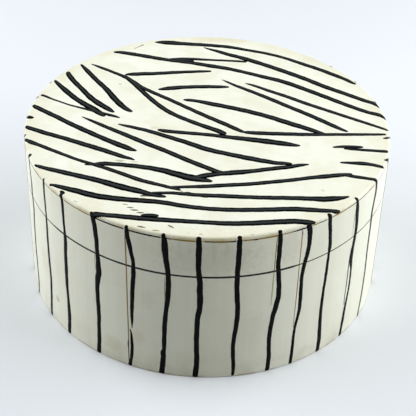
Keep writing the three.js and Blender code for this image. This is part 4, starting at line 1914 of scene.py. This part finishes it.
# Fine lines of the lid: the edge of the facing, then the glue joints of the staves
LID_HAIRLINES = (
    Stroke(((82.95, -82, 0.25), (82.95, -76, 0.3), (82.95, -70.8, 0.3)), Pigment.GREY),
    Stroke(((82.95, -69.3, 0.4), (82.95, -64, 0.45), (82.95, -58.2, 0.4)), Pigment.BLACK),
    Stroke(((82.95, -55.6, 0.4), (82.95, -51, 0.5), (82.95, -47.8, 0.45)), Pigment.GOLDEN),
    Stroke(((82.95, -45.6, 0.45), (82.95, -40, 0.6), (82.95, -35.2, 0.55)), Pigment.GOLDEN),
    Stroke(((82.9, -33.6, 0.7), (82.9, -28, 0.8), (82.92, -23.4, 0.8)), Pigment.BLACK),
    Stroke(((82.7, -26.6, 0.2), (82.68, -25.9, 0.5), (82.68, -25.2, 0.2)), Pigment.GOLDEN),
    Stroke(((82.9, -21.9, 0.75), (82.9, -17, 0.85), (82.9, -12.2, 0.75)), Pigment.BLACK),
    Stroke(((82.95, -10.6, 0.6), (82.92, -9.6, 0.7), (82.9, -8.9, 0.5)), Pigment.UMBER),
    Stroke(((83, -9.4, 0.6), (82.9, -6, 0.85), (82.9, -2.4, 0.8)), Pigment.GOLDEN),
    Stroke(((82.95, 0, 0.6), (82.95, 1.6, 0.75), (82.95, 3, 0.5)), Pigment.UMBER),
    Stroke(((83, 2, 0.5), (83, 5, 0.65), (83, 8.6, 0.5)), Pigment.GOLDEN),
    Stroke(((82.62, 2, 0.3), (82.6, 5, 0.4), (82.62, 7.6, 0.3)), Pigment.UMBER),
    Stroke(((82.85, 7, 0.5), (82.85, 8, 0.85), (82.85, 9, 0.8)), Pigment.BLACK),
    Stroke(((82.9, 11, 0.7), (82.9, 16, 0.75), (82.9, 21.2, 0.9)), Pigment.GOLDEN),
    Stroke(((82.8, 13.7, 0.5), (82.8, 14.6, 0.9), (82.82, 15.5, 0.5)), Pigment.BLACK),
    Stroke(((83, 22.9, 0.5), (83, 25, 0.6), (83, 26.4, 0.5)), Pigment.GOLDEN),
    Stroke(((83, 25.2, 0.5), (83, 28, 0.85), (83, 30.4, 0.85)), Pigment.BLACK),
    Stroke(((83, 32.4, 0.5), (83, 33.6, 0.65), (83, 34.8, 0.5)), Pigment.GOLDEN),
    Stroke(((83, 34.2, 0.45), (83, 36, 0.6), (83, 37.6, 0.5)), Pigment.BLACK),
    Stroke(((83, 39.4, 0.55), (83, 42, 0.75), (83, 45.4, 0.6)), Pigment.GOLDEN),
    Stroke(((83, 45, 0.4), (83, 48, 0.55), (83, 50.4, 0.5)), Pigment.BLACK),
    Stroke(((83, 50.8, 0.4), (83, 56, 0.45), (83, 61, 0.4)), Pigment.BLACK),
    Stroke(((83, 64, 0.4), (83, 70, 0.45), (83, 77, 0.35)), Pigment.UMBER),
    Stroke(((82.5, -22.95, 0.5), (78, -22.9, 0.65), (70, -22.8, 0.65), (62.8, -22.7, 0.6)), Pigment.GOLDEN),
    Stroke(((82.5, 21, 0.35), (76, 20.95, 0.5), (68, 20.85, 0.45), (62.8, 20.85, 0.4)), Pigment.GOLDEN),
    Stroke(((82.5, 29, 0.4), (76, 29.05, 0.55), (68, 29, 0.5), (62.8, 29, 0.45)), Pigment.GOLDEN),
    Stroke(((82, 29.05, 0.3), (80.5, 29.1, 0.6), (79, 29.1, 0.3)), Pigment.UMBER),
    Stroke(((79, 50.4, 0.2), (72, 50.3, 0.35), (64, 50.3, 0.2)), Pigment.GREY),
    Stroke(((84, 9.6, 0.3), (84.3, 9.9, 0.6), (84.5, 10.2, 0.3)), Pigment.TAN),
)

BASE_HAIRLINES = (
    Stroke((
        (62.2, -22.7, 0.6), (50, -22.6, 0.6), (36, -22.5, 0.6), (24, -22.35, 0.65), (16, -22.3, 0.5),
    ), Pigment.GOLDEN),
    Stroke((
        (18, -22.3, 0.4), (14, -22.42, 0.9), (11, -22.35, 0.6), (6, -22.3, 0.5), (1, -22.2, 0.4),
    ), Pigment.UMBER),
    Stroke(((60.5, -10.95, 0.2), (56, -10.9, 0.5), (50, -10.9, 0.4), (45, -10.95, 0.2)), Pigment.TAN),
    Stroke(((62.2, 20.8, 0.35), (52, 20.7, 0.45), (42, 20.6, 0.25)), Pigment.TAN),
    Stroke(((62.2, 29, 0.45), (50, 29, 0.5), (38, 28.95, 0.45), (24, 28.85, 0.25)), Pigment.GOLDEN),
    Stroke(((62, -33.6, 0.2), (57, -33.6, 0.35), (52, -33.5, 0.2)), Pigment.TAN),
)


def pore(across: float, back: float, length: float, slant: float, pigment: Pigment) -> Stroke:
    """Makes the mark of an open pore in the top.

    Args:
        across: Place of its middle across the top.
        back: Place of its middle behind the centre.
        length: Its length.
        slant: Its turn from left to right, in degrees.
        pigment: What has settled in it.

    Returns:
        A short thin stroke.
    """
    reach = Vector((math.cos(math.radians(slant)), math.sin(math.radians(slant)))) * length / 2
    width = 0.3 * length
    tip = 0.3 * width
    return Stroke((
        (across - reach.x, back - reach.y, tip),
        (across, back, width),
        (across + reach.x, back + reach.y, tip),
    ), pigment)


TOP_PORES = (
    pore(-36, -67.5, 2.8, -2, Pigment.TAN),
    pore(-33.6, -69.7, 3.2, -2, Pigment.GREY),
    pore(-31.6, -71.5, 3.8, -2, Pigment.GREY),
    pore(-28.8, -73.3, 3.6, 0, Pigment.GREY),
    pore(-27.8, -83.5, 4.0, -14, Pigment.GREY),
    pore(-21.3, -85.8, 3.6, -5, Pigment.TAN),
    pore(-14.8, -82.6, 3.6, -36, Pigment.GREY),
    pore(-1.5, -87.3, 1.8, -6, Pigment.TAN),
    pore(21, -86.4, 1.5, -5, Pigment.TAN),
    pore(-58.5, -66.5, 1.8, -30, Pigment.TAN),
    pore(-28, -62.4, 2.6, -4, Pigment.TAN),
    Stroke(((-29.8, -60.9, 0.5), (-28, -60.3, 1.5), (-25.5, -60.2, 1.7), (-23, -60.8, 0.5)), Pigment.UMBER),
    Stroke(((-12.1, -55.5, 0.5), (-11.2, -56.2, 0.9), (-10.1, -56.9, 0.6)), Pigment.TAN),
    Stroke(((-41.5, 73.2, 0.3), (-39, 75.6, 0.5), (-36.5, 78, 0.8)), Pigment.GREY),
)


@dataclass(frozen=True)
class BackHand:
    """The unsteady hand that drew the stripes of the sides and the back, one near each glue joint."""

    seed: int
    steps: int = 17
    foot: float = 0.2
    top_at_side: float = 85.4
    top_at_back: float = 84.3
    back_start: float = 140
    back_end: float = 240
    most_drift: float = 1.2
    widths: tuple[float, float] = (1.9, 2.4)
    slow_sway: float = 0.55
    slow_pace: float = 5.2
    quick_sway: float = 0.2
    quick_pace: float = 13
    swell: float = 0.14
    swell_pace: float = 9

    def stripe(self, head: float, chance: random.Random) -> Stroke:
        """Draws one stripe.

        Args:
            head: Turn at which it starts at the rim.
            chance: Seeded source of its sway and width.

        Returns:
            The stripe, from the rim to the foot.
        """
        drift = chance.uniform(-self.most_drift, self.most_drift)
        slow, quick = chance.uniform(0, 2 * math.pi), chance.uniform(0, 2 * math.pi)
        width = chance.uniform(*self.widths)
        top = self.top_at_back if self.back_start < head < self.back_end else self.top_at_side
        start = self.slow_sway * math.sin(slow) + self.quick_sway * math.sin(quick)
        points = []
        for step in range(self.steps + 1):
            height = top - step * (top - self.foot) / self.steps
            down = 1 - height / BOX.height
            sway = self.slow_sway * math.sin(self.slow_pace * down + slow)
            sway += self.quick_sway * math.sin(self.quick_pace * down + quick)
            wide = width * (1 + self.swell * math.sin(self.swell_pace * down + quick))
            points.append((height, head + drift * down + sway - start, wide))
        return Stroke(tuple(points), finish=End.SQUARE)

    def draw(self) -> list[Stroke]:
        """Draws all stripes of the sides and the back."""
        chance = random.Random(self.seed)
        return [self.stripe(head, chance) for head in BACK_STRIPE_HEADS]


def sawn(stripes: Sequence[Stroke], keep_lid: bool) -> list[Stroke]:
    """Keeps the part of each stripe on one side of the saw cut.

    Args:
        stripes: Stripes from the rim to the foot.
        keep_lid: Whether the part above the cut is kept, or the part below it.

    Returns:
        The parts, cut square.
    """
    least_step = 0.5
    edge = BOX.lid_bottom + Stave.eased if keep_lid else BOX.base_top - Stave.eased
    parts = []
    for stripe in stripes:
        rises = [(point[0] - edge if keep_lid else edge - point[0], point) for point in stripe.points]
        kept = [point for rise, point in rises if rise > least_step]
        if not kept:
            continue
        crossing = [
            tuple(Vector(p).lerp(Vector(q), (p[0] - edge) / (p[0] - q[0])))
            for p, q in zip(stripe.points, stripe.points[1:])
            if p[0] >= edge > q[0]
        ]
        if not crossing:
            parts.append(stripe)
        elif keep_lid:
            parts.append(Stroke((*kept, crossing[0]), stripe.pigment, stripe.start, End.SQUARE))
        else:
            parts.append(Stroke((crossing[0], *kept), stripe.pigment, End.SQUARE, stripe.finish))
    return parts


# Sub-assemblies


@dataclass
class Assembly:
    """What base and lid have in common: a body, the same wood and the ways to finish their pieces."""

    finishes: Finishes
    body: str
    wood_seed: int = 41
    film: PaintFilm = PaintFilm()
    hairline_film: PaintFilm = PaintFilm(crown=0.03, spread=0.0, sink=0.03, columns=2)

    def finish_stave(self, stave: Stave, node: str) -> None:
        """Builds and finishes a stave, which stands for its CAD node."""
        name = f"{self.body}_stave_{stave.label}_wood"
        finish_piece(stave.build(), name, self.body, self.finishes.of_stave, [node])

    def finish_bare(self, bm: bmesh.types.BMesh, node: str) -> None:
        """Finishes a piece of bare wood, which stands for its CAD node."""
        finish_piece(bm, f"{node}_wood", self.body, [self.finishes.wood], [node])

    def finish_film(self, bm: bmesh.types.BMesh, name: str) -> None:
        """Finishes a film of paint."""
        finish_piece(bm, name, self.body, self.finishes.marks, weighted=False)


@dataclass
class BaseAssembly(Assembly):
    """The base: its ring of staves, floor board, lip ring and the painting on its wall."""

    body: str = "base"

    def build_staves(self) -> None:
        """Builds the staves."""
        for stave in ring_of_staves(0.0, BOX.base_top, False, self.wood_seed):
            self.finish_stave(stave, f"base_stave_{stave.label}")

    def build_floor(self) -> None:
        """Builds the floor board."""
        board = Board(outer_face=0.0, inner_face=BOX.board_thickness, grain_shift=300)
        self.finish_bare(board.build(), "floor_board")

    def build_lip(self) -> None:
        """Builds the lip ring."""
        self.finish_bare(LipRing().build(), "lip_ring")

    def paint(self, stripes: Sequence[Stroke]) -> None:
        """Paints the wall.

        Args:
            stripes: All stripes of the wall, from the rim to the foot.
        """
        self.finish_film(self.film.lay([], sawn(stripes, False), seed=7), "base_stripes")
        self.finish_film(self.hairline_film.lay([], BASE_HAIRLINES, seed=8), "base_hairlines")

    def build(self, stripes: Sequence[Stroke]) -> None:
        """Builds the base in order.

        Args:
            stripes: All stripes of the wall.
        """
        self.build_staves()
        self.build_floor()
        self.build_lip()
        self.paint(stripes)


@dataclass
class LidAssembly(Assembly):
    """The lid: its ring of staves, lid board, facing and the painting on its wall and top."""

    body: str = "lid"
    first_paired: int = 17
    top_film: PaintFilm = PaintFilm(spread=0.46)

    def node_of(self, number: int) -> str:
        """Finds the CAD node that holds a stave.

        Args:
            number: The stave's number in the ring.

        Returns:
            The node's name, which is a pair's at the back.
        """
        if number < self.first_paired:
            return f"lid_stave_{number:02d}"
        first = number - (number - self.first_paired) % 2
        return f"lid_stave_pair_{first:02d}_{first + 1:02d}"

    def build_staves(self) -> None:
        """Builds the staves."""
        for stave in ring_of_staves(BOX.lid_bottom, BOX.lid_stave_top, True, self.wood_seed):
            self.finish_stave(stave, self.node_of(int(stave.label)))

    def build_board(self) -> None:
        """Builds the lid board."""
        top = BOX.facing_bottom - BOX.board_clearance
        board = Board(outer_face=top, inner_face=top - BOX.board_thickness, grain_shift=1500)
        self.finish_bare(board.build(), "lid_board")

    def build_facing(self) -> None:
        """Builds the facing."""
        finishes = [self.finishes.ivory]
        finish_piece(Facing().build(), "lid_facing_sheet", self.body, finishes, ["lid_facing"])

    def paint(self, stripes: Sequence[Stroke]) -> None:
        """Paints the wall and the top.

        Args:
            stripes: All stripes of the wall, from the rim to the foot.
        """
        self.finish_film(self.film.lay([], sawn(stripes, True), seed=5), "lid_stripes")
        # The top's strokes take black paint with a painted sheen.
        strokes = [
            replace(stroke, pigment=Pigment.SHEENED_BLACK)
            for stroke in (*BACK_STROKES, *CROSSING_STROKES, *LEFT_STROKES, *FRONT_STROKES)
        ]
        self.finish_film(self.top_film.lay(strokes, [], seed=6), "top_strokes")
        self.finish_film(self.hairline_film.lay(TOP_PORES, LID_HAIRLINES, seed=9), "lid_hairlines")

    def build(self, stripes: Sequence[Stroke]) -> None:
        """Builds the lid in order.

        Args:
            stripes: All stripes of the wall.
        """
        self.build_staves()
        self.build_board()
        self.build_facing()
        self.paint(stripes)


# Studio


COOL_LIGHT = (0.94, 0.955, 1.0)


@dataclass(frozen=True)
class SoftLamp:
    """A soft light with a flat face, in metres, which the camera doesn't see."""

    name: str
    place: tuple[float, float, float]
    size: tuple[float, float]
    power: float
    target: tuple[float, float, float] = (0.0, 0.0, 0.045)
    colour: tuple[float, float, float] = (1.0, 1.0, 1.0)

    def build(self) -> None:
        """Builds the lamp."""
        data = bpy.data.lights.new(self.name, "AREA")
        data.shape = "RECTANGLE"
        data.size, data.size_y = self.size
        data.energy = self.power
        data.color = self.colour
        lamp = bpy.data.objects.new(self.name, data)
        lamp.location = self.place
        aim = Vector(self.target) - Vector(self.place)
        lamp.rotation_euler = aim.to_track_quat("-Z", "Y").to_euler()
        lamp.visible_camera = False
        bpy.context.scene.collection.objects.link(lamp)


@dataclass
class Studio:
    """The floor, the lamps, the surrounding light and the camera."""

    camera_place: tuple[float, float, float] = (0.0, -0.4983, 0.4096)
    pitch: float = 0.6465
    yaw: float = 0.003
    roll: float = 0.0344
    focal_length: float = 103.74
    sensor: float = 36.0
    world_strength: float = 0.015
    floor_half_width: float = 6.0
    floor_drop: float = 0.0001
    lamps: tuple[SoftLamp, ...] = (
        SoftLamp("overhead", (0.0, 0.1, 1.0), (0.8, 0.8), 0.8, (0.0, 0.0, 0.0)),
        SoftLamp("right_side", (0.8, 0.05, 0.5), (1.1, 0.8), 12.3, (0.0, -0.05, 0.02), COOL_LIGHT),
        SoftLamp("left_side", (-0.8, 0.1, 0.5), (1.1, 0.8), 11.2, (0.0, -0.05, 0.02), COOL_LIGHT),
        SoftLamp("right_front", (0.7, -0.5, 0.45), (0.5, 0.5), 0.7, (0.0, -0.05, 0.02)),
    )

    def build_floor(self, material: bpy.types.Material) -> None:
        """Builds the floor.

        Args:
            material: The floor's material.
        """
        bm = bmesh.new()
        bmesh.ops.create_grid(bm, x_segments=1, y_segments=1, size=self.floor_half_width)
        bmesh.ops.translate(bm, vec=(0, 0, -self.floor_drop), verts=bm.verts)
        mesh = bpy.data.meshes.new("floor")
        bm.to_mesh(mesh)
        bm.free()
        mesh.materials.append(material)
        floor = bpy.data.objects.new("floor", mesh)
        bpy.context.scene.collection.objects.link(floor)

    def build_world(self) -> None:
        """Builds the even light around the scene."""
        world = bpy.data.worlds.new("studio")
        world.use_nodes = True
        bench = NodeBench(world.node_tree)
        strength = bench.ramp(shown_rays(bench), 0.0, 1.0, self.world_strength, 1.0)
        shade = bench.add("ShaderNodeBackground", {"Color": BACKDROP, "Strength": strength})
        bench.add("ShaderNodeOutputWorld", {"Surface": shade.outputs["Background"]})
        bpy.context.scene.world = world

    def build_camera(self) -> None:
        """Builds the camera at the viewing angle of the photograph."""
        forward = Vector((
            math.sin(self.yaw) * math.cos(self.pitch),
            math.cos(self.yaw) * math.cos(self.pitch),
            -math.sin(self.pitch),
        ))
        right = forward.cross(Vector((0, 0, 1))).normalized()
        up = right.cross(forward)
        across = right * math.cos(self.roll) + up * math.sin(self.roll)
        upward = up * math.cos(self.roll) - right * math.sin(self.roll)
        turned = Matrix((across, upward, -forward)).transposed()
        data = bpy.data.cameras.new("camera")
        data.sensor_width = self.sensor
        data.lens = self.focal_length
        camera = bpy.data.objects.new("camera", data)
        camera.matrix_world = Matrix.Translation(self.camera_place) @ turned.to_4x4()
        bpy.context.scene.collection.objects.link(camera)
        bpy.context.scene.camera = camera

    def build(self) -> None:
        """Builds the whole studio."""
        self.build_floor(PaleFloor().build())
        self.build_world()
        for lamp in self.lamps:
            lamp.build()
        self.build_camera()
        bpy.context.scene.view_settings.view_transform = "Standard"


def main() -> None:
    """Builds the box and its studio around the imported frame."""
    logging.basicConfig(level=logging.INFO, format="%(message)s")
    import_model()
    Studio().build()
    finishes = Finishes()
    stripes = [*FRONT_STRIPES, *BackHand(seed=19).draw()]
    BaseAssembly(finishes).build(stripes)
    LidAssembly(finishes).build(stripes)


if __name__ == "__main__":
    main()
